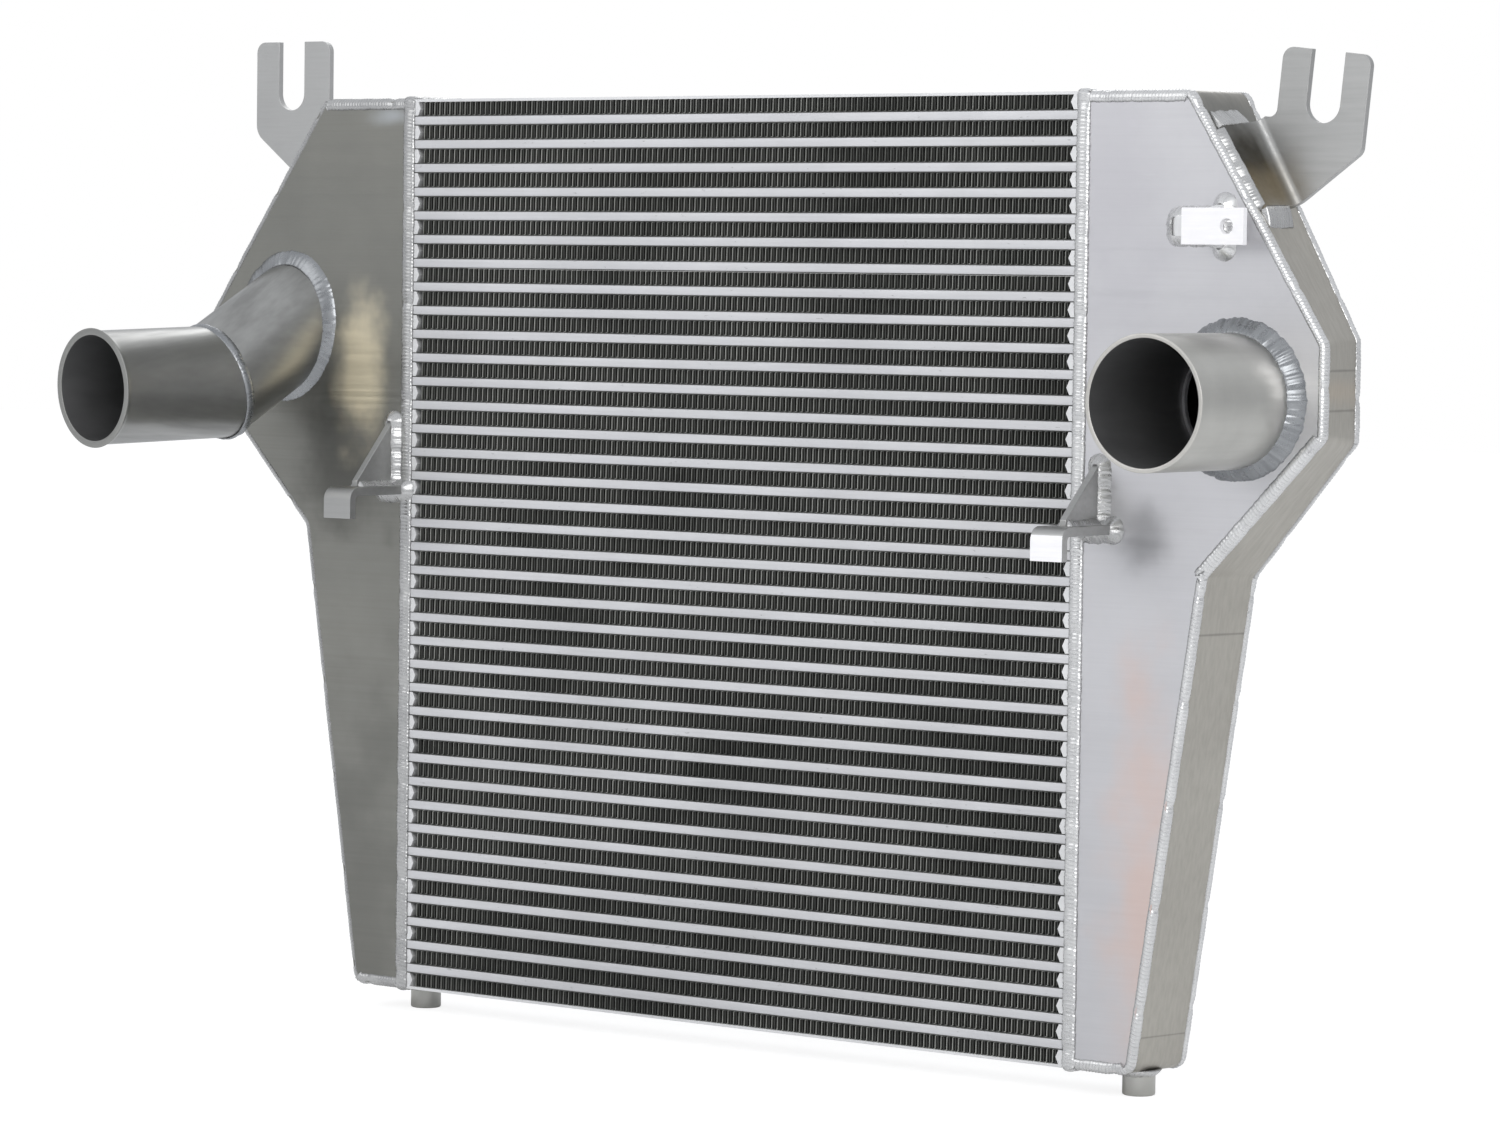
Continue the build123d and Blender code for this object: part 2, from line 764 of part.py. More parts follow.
tube_holes = {
    right: bore(outlet_radius - tube_wall - hole_ledge, outlet_root),
    left: bore(inlet_radius - tube_wall - hole_ledge, inlet_root),
}
pairs = defaultdict(list)
for tank in (right, left):
    bracket = LowerBracket(tank)
    fork = Fork(tank)
    bar, gusset, bracket_welds = bracket.bar(), bracket.gusset(), bracket.bead()
    grommet_room = pin(tank, pin_sleeve_space)
    band = tank_band(tank)
    save(f"{tank.name}_front_plate", tank_plate(tank, tank.fore, front, tube_holes[tank]))
    save(f"{tank.name}_back_plate", tank_plate(tank, tank.aft, back - tank_wall))
    save(f"{tank.name}_strip", split(band, cap_line(), keep=Keep.TOP))
    save(f"{tank.name}_rim_weld_front", rim_weld(tank, tank.fore, front, 1))
    save(f"{tank.name}_rim_weld_rear", rim_weld(tank, tank.aft, back, -1))
    save(f"{tank.name}_core_welds", seam_beads(tank, [bar, gusset, bracket_welds, grommet_room]))
    pairs["pins"].append(pin(tank))
    pairs["bottom_caps"].append(split(band, cap_line(), keep=Keep.BOTTOM))
    pairs["lower_brackets"].append(bar)
    pairs["lower_gussets"].append(gusset)
    pairs["lower_bracket_welds"].append(bracket_welds)
    pairs["forks"].append(fork.solid())
    pairs["fork_welds"] += fork.beads()
for name, pieces in pairs.items():
    save(name, pieces)

save("air_tubes", [outlet_tube(), inlet_root_run(), inlet_mouth_run()])
save("tube_welds", [outlet_bead(), inlet_bead()])
save("upper_bracket_plate", upper_plate())
save("upper_bracket_flat_web", upper_flat_web())
save("upper_bracket_upright_web", upper_upright_web())
save("upper_bracket_welds", upper_beads())
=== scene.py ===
"""Dresses the bar-and-plate charge air cooler: folded fins, bars, welds, tubes and sheet finishes.

All lengths are in metres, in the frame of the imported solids: +X runs across the core, +Y is the
way the cooling air leaves and +Z is up.
"""

from __future__ import annotations

import logging
import math
from collections.abc import Callable
from dataclasses import dataclass, fields, replace
from enum import Enum

import bmesh
import bpy
from mathutils import Matrix, Vector

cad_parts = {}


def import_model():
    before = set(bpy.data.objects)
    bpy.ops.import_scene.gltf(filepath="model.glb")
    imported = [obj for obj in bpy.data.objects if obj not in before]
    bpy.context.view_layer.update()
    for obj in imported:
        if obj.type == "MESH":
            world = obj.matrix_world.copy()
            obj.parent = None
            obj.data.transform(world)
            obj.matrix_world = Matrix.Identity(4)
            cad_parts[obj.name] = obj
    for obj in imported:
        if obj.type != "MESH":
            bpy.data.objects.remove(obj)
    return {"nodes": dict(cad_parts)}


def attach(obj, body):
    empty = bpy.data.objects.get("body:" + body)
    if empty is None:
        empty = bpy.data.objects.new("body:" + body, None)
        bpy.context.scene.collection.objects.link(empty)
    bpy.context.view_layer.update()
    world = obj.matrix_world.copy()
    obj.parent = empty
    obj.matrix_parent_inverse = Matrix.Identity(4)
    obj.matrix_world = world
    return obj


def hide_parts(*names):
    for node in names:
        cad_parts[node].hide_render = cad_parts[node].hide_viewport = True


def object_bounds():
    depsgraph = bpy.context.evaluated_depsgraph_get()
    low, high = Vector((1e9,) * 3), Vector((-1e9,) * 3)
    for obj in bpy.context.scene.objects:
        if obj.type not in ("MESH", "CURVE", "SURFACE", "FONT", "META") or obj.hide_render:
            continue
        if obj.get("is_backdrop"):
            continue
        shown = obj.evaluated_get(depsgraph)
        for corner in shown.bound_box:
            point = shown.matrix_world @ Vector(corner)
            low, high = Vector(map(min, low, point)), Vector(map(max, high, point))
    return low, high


LOG = logging.getLogger("cooler")
Triple = tuple[float, float, float]
Socket = bpy.types.NodeSocket
Value = Socket | float
MM = 0.001
BODY = "root"


# --- Named options ---


class Slot(Enum):
    """Material slots that the pieces take."""

    CORE_BAR = "core_bar"
    FIN = "fin"
    TANK_STRIP = "tank_strip"
    WELD = "weld"
    TUBE = "tube"
    BRACKET = "bracket"


class Face(Enum):
    """Side of the cooler that a weld lies on; the value is the sign of its way out along -Y."""

    FRONT = 1
    REAR = -1


class Side(Enum):
    """End of the core that a tank stands at."""

    RIGHT = 1
    LEFT = -1


# --- Sizes ---


@dataclass(frozen=True)
class CoreSizes:
    """Sizes of the brazed core, in metres."""

    left: float = -314.0 * MM
    right: float = 277.0 * MM
    front: float = -28.575 * MM
    back: float = 28.575 * MM
    bottom: float = 16.6 * MM
    top: float = 666.85 * MM
    row_floor: float = 18.6 * MM
    row_pitch: float = 17.2 * MM
    fin_height: float = 9.85 * MM
    bar_height: float = 6.35 * MM
    bar_depth: float = 8.0 * MM
    sheet: float = 0.5 * MM
    end_bar: float = 10.5 * MM
    fin_setback: float = 1.0 * MM
    passages: int = 37


CORE = CoreSizes()


@dataclass(frozen=True)
class TankSizes:
    """One tank: the outlines of its front and rear, and the places of what it carries.

    An outline's corners are widths out of the core's end and drops from the top, in millimetres.
    """

    name: str
    side: Side
    fore: tuple[tuple[float, float], ...]
    aft: tuple[tuple[float, float], ...]
    bracket_width: float
    bracket_drop: float
    gusset_height: float
    pin_width: float
    fork_start: float
    fork_flange: float
    bend: float = 10.0 * MM

    @property
    def seam(self) -> float:
        """X of the plane where the tank meets the core."""
        return CORE.right if self.side is Side.RIGHT else CORE.left

    def at(self, width: float, drop: float) -> Vector:
        """Point of the XZ plane, from a width out of the core and a drop, in millimetres."""
        return Vector((self.seam + self.side.value * width * MM, CORE.top - drop * MM))

    def corners(self, face: Face) -> list[Vector]:
        """Corners of the front's or the rear's outline, in the XZ plane."""
        outline = self.fore if face is Face.FRONT else self.aft
        return [self.at(width, drop) for width, drop in outline]

    def flare(self, along: float, depth: float) -> float:
        """How far the upper slope's wall stands out of the front's slope.

        Args:
            along: Distance down the slope.
            depth: Y of the place.

        Returns:
            The distance, which is 0 where front and rear are alike.
        """
        if self.fore == self.aft:
            return 0.0
        (top, shoulder), (aft_top, aft_shoulder) = (self.corners(face)[1:3] for face in Face)
        down, aft_down = (shoulder - top).normalized(), (aft_shoulder - aft_top).normalized()
        normal = Vector((-down.y, down.x)) * self.side.value
        away = top + down * along - aft_top
        whole = (aft_down * (away.dot(down) / aft_down.dot(down)) - away).dot(normal)
        start, end = CORE.front + 8.0 * MM, CORE.back - 8.0 * MM
        return whole * (depth - start) / (end - start)


RIGHT = TankSizes(
    "right",
    Side.RIGHT,
    ((0, 0), (83, 0), (188.5, 163.8), (188.5, 225.5), (98.5, 318.7), (48.5, 650.25), (0, 650.25)),
    ((0, 0), (93, 0), (182, 161.5), (182, 228.7), (106, 319.3), (56, 650.25), (0, 650.25)),
    bracket_width=17.5, bracket_drop=285.9, gusset_height=40.5, pin_width=37.6,
    fork_start=30.0, fork_flange=63.0,
)
LEFT_OUTLINE = (
    (0, 0), (83.5, 0), (195, 157.4), (195, 211.4), (98.5, 313.3), (46.5, 650.25), (0, 650.25)
)
LEFT = TankSizes(
    "left", Side.LEFT, LEFT_OUTLINE, LEFT_OUTLINE,
    bracket_width=12.0, bracket_drop=281.2, gusset_height=47.4, pin_width=0.6,
    fork_start=22.5, fork_flange=60.0,
)

@dataclass(frozen=True)
class TubeSizes:
    """Axes and sizes of the tubes and the pins, in metres."""

    outlet_root: Triple = (0.3993, CORE.front, 0.46485)
    outlet_radius: float = 44.45 * MM
    outlet_length: float = 109.0 * MM
    inlet_root: Triple = (-0.4336, CORE.front, 0.50005)
    inlet_mitre: Triple = (-0.44484, -0.09432, 0.45885)
    before_mitre: Triple = (-0.14335, -0.83864, -0.52547)
    after_mitre: Triple = (-0.16838, -0.98504, -0.03664)
    inlet_radius: float = 41.275 * MM
    inlet_length: float = 109.3 * MM
    wall: float = 3.0 * MM
    lip: tuple[float, float] = (5.0 * MM, 2.0 * MM)
    pin_radius: float = 11.1 * MM

    @property
    def inlet_ways(self) -> tuple[Vector, Vector]:
        """Directions of the inlet's run from the tank and of its run to the mouth."""
        return Vector(self.before_mitre), Vector(self.after_mitre)


TUBES = TubeSizes()


# --- Node tree helpers ---


class TreeBuilder:
    """Short calls for adding and joining nodes in one node tree."""

    def __init__(self, tree: bpy.types.NodeTree) -> None:
        """Keep the tree that the nodes go into.

        Args:
            tree: Shader, geometry or group tree, emptied by the caller if need be.
        """
        self.tree = tree

    def add(self, kind: str, inputs: dict | None = None, **settings) -> bpy.types.Node:
        """Add a node.

        Args:
            kind: The node's type name.
            inputs: Socket name or index to a plain value or to an output socket.
            **settings: Attributes of the node, such as its operation.

        Returns:
            The new node.
        """
        node = self.tree.nodes.new(kind)
        for key, value in settings.items():
            setattr(node, key, value)
        for key, value in (inputs or {}).items():
            socket = node.inputs[key]
            if isinstance(value, Socket):
                self.tree.links.new(value, socket)
            else:
                socket.default_value = value
        return node

    def out(self, kind: str, inputs: dict | None = None, **settings) -> Socket:
        """Add a node and give its first output."""
        return self.add(kind, inputs, **settings).outputs[0]

    def math(self, operation: str, a: Value, b: Value = 0.0, c: Value = 0.0) -> Socket:
        """Add a Math node.

        Args:
            operation: Name of the operation.
            a: First value or socket.
            b: Second value or socket.
            c: Third value or socket.

        Returns:
            The node's output.
        """
        return self.out("ShaderNodeMath", {0: a, 1: b, 2: c}, operation=operation)

    def times(self, a: Value, b: Value) -> Socket:
        """Multiply two values."""
        return self.math("MULTIPLY", a, b)

    def plus(self, a: Value, b: Value) -> Socket:
        """Add two values."""
        return self.math("ADD", a, b)

    def minus(self, a: Value, b: Value) -> Socket:
        """Take the second value from the first."""
        return self.math("SUBTRACT", a, b)

    def times_plus(self, a: Value, b: Value, c: Value) -> Socket:
        """Multiply the first two values and add the third."""
        return self.math("MULTIPLY_ADD", a, b, c)

    def vector(self, x: Value = 0.0, y: Value = 0.0, z: Value = 0.0) -> Socket:
        """Add a Combine XYZ node and give its output."""
        return self.out("ShaderNodeCombineXYZ", {0: x, 1: y, 2: z})

    def scaled(self, vector: Socket, by: Socket | Triple) -> Socket:
        """Multiply a vector by another, part by part."""
        return self.out("ShaderNodeVectorMath", {0: vector, 1: by}, operation="MULTIPLY")

    def noise(self, vector: Socket, scale: Value, detail: float, roughness: float = 0.5) -> Socket:
        """Add a Noise Texture node.

        Args:
            vector: Where the noise is read.
            scale: Its scale.
            detail: Its octaves.
            roughness: How strong the finer octaves are.

        Returns:
            The noise, from 0 to 1.
        """
        inputs = {"Vector": vector, "Scale": scale, "Detail": detail, "Roughness": roughness}
        return self.out("ShaderNodeTexNoise", inputs)

    def ramp(
        self, value: Socket, low: float, high: float, start: float = 0.0, end: float = 1.0
    ) -> Socket:
        """Map a value from one range to another, held within it.

        Args:
            value: The value's socket.
            low: Value that gives the start.
            high: Value that gives the end.
            start: Result at the low value.
            end: Result at the high value.

        Returns:
            The mapped value.
        """
        inputs = {"Value": value, "From Min": low, "From Max": high, "To Min": start, "To Max": end}
        return self.out("ShaderNodeMapRange", inputs)

    def mix(self, factor: Value, a: Socket | tuple, b: Socket | tuple) -> Socket:
        """Mix two colours.

        Args:
            factor: Value or socket from 0 to 1.
            a: Colour or socket at 0.
            b: Colour or socket at 1.

        Returns:
            The mixed colour.
        """
        return self.add("ShaderNodeMix", {0: factor, 6: a, 7: b}, data_type="RGBA").outputs[2]

    def link(self, out: Socket, into: Socket) -> None:
        """Join two sockets."""
        self.tree.links.new(out, into)


def group_socket(
    tree: bpy.types.NodeTree, name: str, output: bool, kind: str, value: float | None = None
) -> None:
    """Add a named socket to a node group.

    Args:
        tree: The group's tree.
        name: Name of the socket.
        output: True for an output.
        kind: The socket's type name.
        value: Default value of an input.
    """
    socket = tree.interface.new_socket(
        name, in_out="OUTPUT" if output else "INPUT", socket_type=kind
    )
    if value is not None:
        socket.default_value = value


def emptied(owner: bpy.types.Material | bpy.types.World) -> TreeBuilder:
    """Empty the node tree of a material or a world.

    Args:
        owner: The material or the world.

    Returns:
        The tree's builder.
    """
    owner.use_nodes = True
    owner.node_tree.nodes.clear()
    return TreeBuilder(owner.node_tree)


def stood(name: str, data: bpy.types.ID) -> bpy.types.Object:
    """Make an object and put it into the scene.

    Args:
        name: Its name.
        data: Its mesh, curve, lamp or camera.

    Returns:
        The object.
    """
    thing = bpy.data.objects.new(name, data)
    bpy.context.scene.collection.objects.link(thing)
    return thing


# --- Shader groups ---


@dataclass(frozen=True)
class GroupSpec:
    """Name and sockets of a shader group."""

    name: str
    floats: tuple[tuple[str, float], ...]
    outputs: tuple[str, ...]

    def start(self) -> tuple[TreeBuilder, bpy.types.Node, bpy.types.Node]:
        """Make the empty group.

        Returns:
            Its builder, its input node and its output node.
        """
        tree = bpy.data.node_groups.new(self.name, "ShaderNodeTree")
        group_socket(tree, "Vector", False, "NodeSocketVector")
        for name, value in self.floats:
            group_socket(tree, name, False, "NodeSocketFloat", value)
        for name in self.outputs:
            group_socket(tree, name, True, "NodeSocketFloat")
        return TreeBuilder(tree), tree.nodes.new("NodeGroupInput"), tree.nodes.new(
            "NodeGroupOutput"
        )


class Effects:
    """Shader node groups that the materials share, each built once."""

    def __init__(self) -> None:
        """Build every group."""
        self.grain = self._grain()
        self.clouds = self._clouds()
        self.scuffs = self._scuffs()

    def _grain(self) -> bpy.types.NodeTree:
        """Build the mill grain: fine lines along one axis.

        Returns:
            The group, with a Height and a Mask output.
        """
        floats = (("Across X", 400.0), ("Across Y", 400.0), ("Across Z", 20.0))
        build, given, result = GroupSpec("mill_grain", floats, ("Height", "Mask")).start()
        scale = build.vector(*(given.outputs[name] for name, _ in floats))
        fine = build.noise(build.scaled(given.outputs["Vector"], scale), 1.0, 3.0, 0.65)
        build.link(fine, result.inputs["Height"])
        build.link(build.ramp(fine, 0.35, 0.68), result.inputs["Mask"])
        return build.tree

    def _clouds(self) -> bpy.types.NodeTree:
        """Build the soft change of tone over a sheet.

        Returns:
            The group, with a Mask output.
        """
        build, given, result = GroupSpec(
            "cloudy_tone", (("Size", 12.0), ("Contrast", 0.5)), ("Mask",)
        ).start()
        broad = build.noise(given.outputs["Vector"], given.outputs["Size"], 4.0, 0.55)
        spread = build.times_plus(build.minus(broad, 0.5), given.outputs["Contrast"], 0.5)
        build.link(build.out("ShaderNodeClamp", {0: spread}), result.inputs["Mask"])
        return build.tree

    def _scuffs(self) -> bpy.types.NodeTree:
        """Build scattered dark nicks and scratches, long along X.

        Returns:
            The group, with a Mask output.
        """
        floats = (("Size", 60.0), ("Amount", 0.3), ("Stretch", 3.0))
        build, given, result = GroupSpec("scuffs", floats, ("Mask",)).start()
        scale = build.vector(1.0, 1.0, given.outputs["Stretch"])
        spots = build.noise(
            build.scaled(given.outputs["Vector"], scale), given.outputs["Size"], 6.0, 0.7
        )
        edge = build.times_plus(given.outputs["Amount"], -0.25, 0.78)
        over = build.times(build.minus(spots, edge), 14.0)
        build.link(build.out("ShaderNodeClamp", {0: over}), result.inputs["Mask"])
        return build.tree


# --- Finishes ---

Colour = Triple


@dataclass(frozen=True)
class Patch:
    """Soft tinted patch on a sheet, in the XZ plane; it can fade out between two values of Y."""

    centre: tuple[float, float]
    reach: tuple[float, float]
    colour: Colour
    strength: float
    behind: tuple[float, float] | None = None

    def mask(self, build: TreeBuilder, where: Socket) -> Socket:
        """Build the patch's mask.

        Args:
            build: The material's builder.
            where: Object coordinates.

        Returns:
            The mask, from 0 outside to the patch's strength at its centre.
        """
        centre = (self.centre[0], 0.0, self.centre[1])
        away = build.out("ShaderNodeVectorMath", {0: where, 1: centre}, operation="SUBTRACT")
        flat = build.scaled(away, (1 / self.reach[0], 0.0, 1 / self.reach[1]))
        smooth = build.add("ShaderNodeVectorMath", {0: flat}, operation="LENGTH").outputs["Value"]
        distance = build.times_plus(build.minus(build.noise(where, 26.0, 3.0), 0.5), 1.1, smooth)
        inputs = {
            "Value": distance, "From Min": 0.0, "From Max": 1.0, "To Min": self.strength,
            "To Max": 0.0,
        }
        round_mask = build.out("ShaderNodeMapRange", inputs, interpolation_type="SMOOTHERSTEP")
        if self.behind is None:
            return round_mask
        depth = build.add("ShaderNodeSeparateXYZ", {0: where}).outputs[1]
        return build.times(round_mask, build.ramp(depth, *self.behind, 1.0, 0.0))


@dataclass(frozen=True)
class MetalFinish:
    """Bare aluminium, described by its tones, its grain and its marks."""

    name: str
    light: Colour
    dark: Colour
    roughness: tuple[float, float]
    grain: Triple
    grain_depth: float = 0.04
    grain_tone: float = 0.10
    cloud_size: float = 9.0
    cloud_contrast: float = 1.6
    scuff_amount: float = 0.1
    scuff_size: float = 70.0
    scuff_colour: Colour = (0.20, 0.20, 0.20)
    metallic: float = 1.0
    patches: tuple[Patch, ...] = ()

    def make(self, effects: Effects) -> bpy.types.Material:
        """Build the material.

        Args:
            effects: Shared shader groups.

        Returns:
            The finished material.
        """
        material = bpy.data.materials.new(self.name)
        build = emptied(material)
        where = build.add("ShaderNodeTexCoord").outputs["Object"]
        lines = dict(zip(("Across X", "Across Y", "Across Z"), self.grain))
        grain = self._group(build, effects.grain, where, lines)
        clouds = self._group(
            build, effects.clouds, where, {"Size": self.cloud_size, "Contrast": self.cloud_contrast}
        )
        scuffs = self._group(
            build, effects.scuffs, where, {"Size": self.scuff_size, "Amount": self.scuff_amount}
        )
        tone = build.mix(clouds.outputs["Mask"], (*self.dark, 1.0), (*self.light, 1.0))
        darker = tuple(value * 0.55 for value in self.dark)
        tone = build.mix(build.times(grain.outputs["Mask"], self.grain_tone), tone, (*darker, 1.0))
        tone = self.extra(build, tone)
        for patch in self.patches:
            tone = build.mix(patch.mask(build, where), tone, (*patch.colour, 1.0))
        marked = build.times(scuffs.outputs["Mask"], 0.6)
        tone = build.mix(marked, tone, (*self.scuff_colour, 1.0))
        rough = build.ramp(grain.outputs["Mask"], 0.0, 1.0, *self.roughness)
        bump = build.out(
            "ShaderNodeBump", {
                "Height": grain.outputs["Height"], "Strength": self.grain_depth, "Distance": 0.0004
            }
        )
        shader = build.out(
            "ShaderNodeBsdfPrincipled",
            {"Base Color": tone, "Metallic": self.metallic, "Roughness": rough, "Normal": bump},
        )
        build.link(shader, build.add("ShaderNodeOutputMaterial").inputs[0])
        return material

    def extra(self, build: TreeBuilder, tone: Socket) -> Socket:
        """Give the tone back unchanged; a finish with more to add does it here."""
        return tone

    def _group(
        self, build: TreeBuilder, tree: bpy.types.NodeTree, where: Socket, values: dict
    ) -> bpy.types.Node:
        """Place a shared group with this finish's values.

        Args:
            build: The material's builder.
            tree: The shared group.
            where: Object coordinates.
            values: Input name to value.

        Returns:
            The group node.
        """
        return build.add("ShaderNodeGroup", {"Vector": where, **values}, node_tree=tree)


@dataclass(frozen=True)
class FinFinish(MetalFinish):
    """Fin sheet, with painted light on the cut edges at both faces of the core and painted shade
    between them.
    """

    # edge is the colour of the painted light on the cut edges; shade is the strength of the painted
    # shade on the falling walls.
    edge: Colour = (0.46, 0.465, 0.43)
    edge_depth: float = 1.3 * MM
    shade: float = 0.6
    patch_size: float = 7.0

    def extra(self, build: TreeBuilder, tone: Socket) -> Socket:
        """Paint light on the cut edges of the rising walls, and paint shade on the falling walls.

        Args:
            build: The material's builder.
            tone: Colour so far.

        Returns:
            The colour with the painted light and shade.
        """
        where = build.add("ShaderNodeTexCoord").outputs["Object"]
        depth = build.math("ABSOLUTE", build.add("ShaderNodeSeparateXYZ", {0: where}).outputs[1])
        face = CORE.back - CORE.fin_setback
        bright = build.ramp(depth, face - self.edge_depth, face - 0.3 * MM)
        patchy = build.ramp(build.noise(where, self.patch_size, 3.0), 0.36, 0.62, 0.15, 1.0)
        rising = build.add("ShaderNodeAttribute", attribute_name="rising").outputs["Fac"]
        # Painted shade on the falling walls, then painted light on the rising walls' cut edges.
        shaded = build.mix(
            build.ramp(rising, 0.3, 0.7, self.shade, 0.0), tone, (0.02, 0.02, 0.02, 1.0)
        )
        lit = build.times(build.times(bright, patchy), build.ramp(rising, 0.3, 0.7, 0.1, 1.0))
        return build.mix(lit, shaded, (*self.edge, 1.0))


@dataclass(frozen=True)
class BeadFinish(MetalFinish):
    """Weld metal: pale on the ripples' crests, with painted shade between them and along the toes.
    """

    # Colour and strengths of the painted shade along the toes and in the troughs between ripples.
    toe: Colour = (0.22, 0.22, 0.22)
    toe_strength: float = 0.7
    trough_shade_strength: float = 0.5

    def extra(self, build: TreeBuilder, tone: Socket) -> Socket:
        """Paint shade into the troughs and along the toes.

        Args:
            build: The material's builder.
            tone: Colour so far.

        Returns:
            The colour with painted shade in the troughs and along the toes.
        """
        crest = build.add("ShaderNodeAttribute", attribute_name="crest").outputs["Fac"]
        crown = build.add("ShaderNodeAttribute", attribute_name="crown").outputs["Fac"]
        trough_shade = build.ramp(crest, 0.0, 0.45, self.trough_shade_strength, 0.0)
        toe = build.ramp(crown, 0.0, 0.5, self.toe_strength, 0.0)
        return build.mix(toe, build.mix(trough_shade, tone, (*self.toe, 1.0)), (*self.toe, 1.0))


def brake_line(height: float) -> Patch:
    """Faint line that the brake press leaves across a strip, at a height."""
    return Patch((0.0, height), (20.0, 1.3 * MM), (0.22, 0.21, 0.19), 0.55)


class Finishes:
    """All materials of the cooler."""

    fine: Triple = (180.0, 180.0, 180.0)

    def __init__(self, effects: Effects) -> None:
        """Build the materials.

        Args:
            effects: Shared shader groups.
        """
        self.by_name = {name: finish.make(effects) for name, finish in self._recipes().items()}

    def _recipes(self) -> dict[str, MetalFinish]:
        """Gather the finishes of every kind of piece, by name."""
        return self._sheets() | self._core() | self._welds() | self._tubes() | self._brackets()

    def _sheets(self) -> dict[str, MetalFinish]:
        """Finishes of the tanks' plates and strips.

        Returns:
            Finish name to finish.
        """
        # glow is the colour of a painted warm reflection on the left plate.
        across, glow, rose = (5.0, 260.0, 300.0), (0.95, 0.85, 0.63), (0.80, 0.56, 0.47)
        lower_dark_tone = (0.17, 0.17, 0.155)
        return {
            "right_plate": MetalFinish(
                "right_plate_sheet", (0.71, 0.705, 0.72), (0.62, 0.615, 0.63), (0.34, 0.46), across,
                grain_tone=0.05,
                patches=(
                    Patch((0.334, 0.13), (0.045, 0.24), rose, 0.55),
                    # Painted shadow cast by the lower bracket.
                    Patch((0.330, 0.372), (0.035, 0.035), (0.22, 0.22, 0.23), 0.55),
                    Patch((0.305, 0.60), (0.07, 0.16), (0.56, 0.55, 0.58), 0.5),
                ),
            ),
            # The left plate's dark olive tones are painted shade, standing for the dark
            # surroundings that it reflects; it is a darker copy of the right plate's metal.
            "left_plate": MetalFinish(
                "left_plate_sheet", (0.33, 0.325, 0.295), (0.25, 0.25, 0.23), (0.30, 0.42), across,
                patches=(
                    # Painted shade under the inlet tube.
                    Patch((-0.375, 0.405), (0.075, 0.085), (0.10, 0.10, 0.09), 0.8),
                    # Painted warm reflection beside the inlet tube.
                    Patch((-0.358, 0.468), (0.036, 0.080), glow, 1.0),
                    # Darker over the lower part of the left plate.
                    Patch((-0.350, 0.08), (0.08, 0.26), lower_dark_tone, 0.6),
                    Patch((-0.330, 0.655), (0.035, 0.012), (0.60, 0.63, 0.66), 0.6),
                ),
            ),
            "back_plate": MetalFinish(
                "back_plate_sheet", (0.50, 0.50, 0.50), (0.42, 0.42, 0.42), (0.34, 0.46), across,
                grain_tone=0.05,
            ),
            "strip": MetalFinish(
                "bent_strip_sheet", (0.52, 0.50, 0.45), (0.43, 0.41, 0.37), (0.36, 0.50),
                (6.0, 420.0, 90.0), grain_tone=0.12,
                patches=(
                    *(brake_line(height) for height in (0.4859, 0.4600, 0.3106, 0.0412)),
                    Patch((0.466, 0.472), (0.03, 0.014), (0.62, 0.52, 0.40), 0.35),
                    # Painted shade on the right tank's upper slope, near the top of the fork.
                    Patch((0.378, 0.650), (0.045, 0.045), (0.20, 0.20, 0.19), 0.8),
                ),
            ),
        }

    def _core(self) -> dict[str, MetalFinish]:
        """Finishes of the brazed core.

        Returns:
            Finish name to finish.
        """
        return {
            "bar": MetalFinish(
                "charge_bar_face", (0.72, 0.72, 0.73), (0.56, 0.56, 0.57), (0.42, 0.58),
                (10.0, 200.0, 300.0), scuff_amount=0.55, scuff_size=110.0,
                scuff_colour=(0.20, 0.20, 0.19), metallic=0.4,
            ),
            "end_bar": MetalFinish(
                "end_bar_face", (0.86, 0.86, 0.86), (0.66, 0.66, 0.66), (0.42, 0.58),
                (10.0, 300.0, 500.0), metallic=0.4,
            ),
            # The fins' dark tones are painted shade: bright aluminium darkened for the deep gaps
            # between the folds.
            "fin": FinFinish(
                "folded_fin", (0.17, 0.175, 0.16), (0.09, 0.093, 0.085), (0.40, 0.60),
                (300.0, 60.0, 20.0), cloud_size=60.0, cloud_contrast=2.0, metallic=0.5,
            ),
        }

    def _welds(self) -> dict[str, MetalFinish]:
        """Finishes of the beads: bright, a copy darkened as painted shade, and one darkened further
        as painted shade in the tubes' shade.

        Returns:
            Finish name to finish.
        """
        bead = BeadFinish(
            "weld_bead", (0.82, 0.82, 0.81), (0.62, 0.62, 0.62), (0.22, 0.38), self.fine, 0.10,
            cloud_size=45.0, metallic=0.85,
        )
        # Darker copy of the bead metal: painted shade, for the left tank, the lower brackets and
        # the forks.
        painted_shade_bead = replace(
            bead, name="painted_shade_weld_bead", light=(0.60, 0.60, 0.59), dark=(0.42, 0.42, 0.42)
        )
        shaded = replace(
            bead, name="shaded_weld_bead", light=(0.38, 0.39, 0.40), dark=(0.22, 0.23, 0.24),
            trough_shade_strength=0.2, toe_strength=0.9,
        )
        return {"weld": bead, "left_weld": painted_shade_bead, "shaded_weld": shaded}

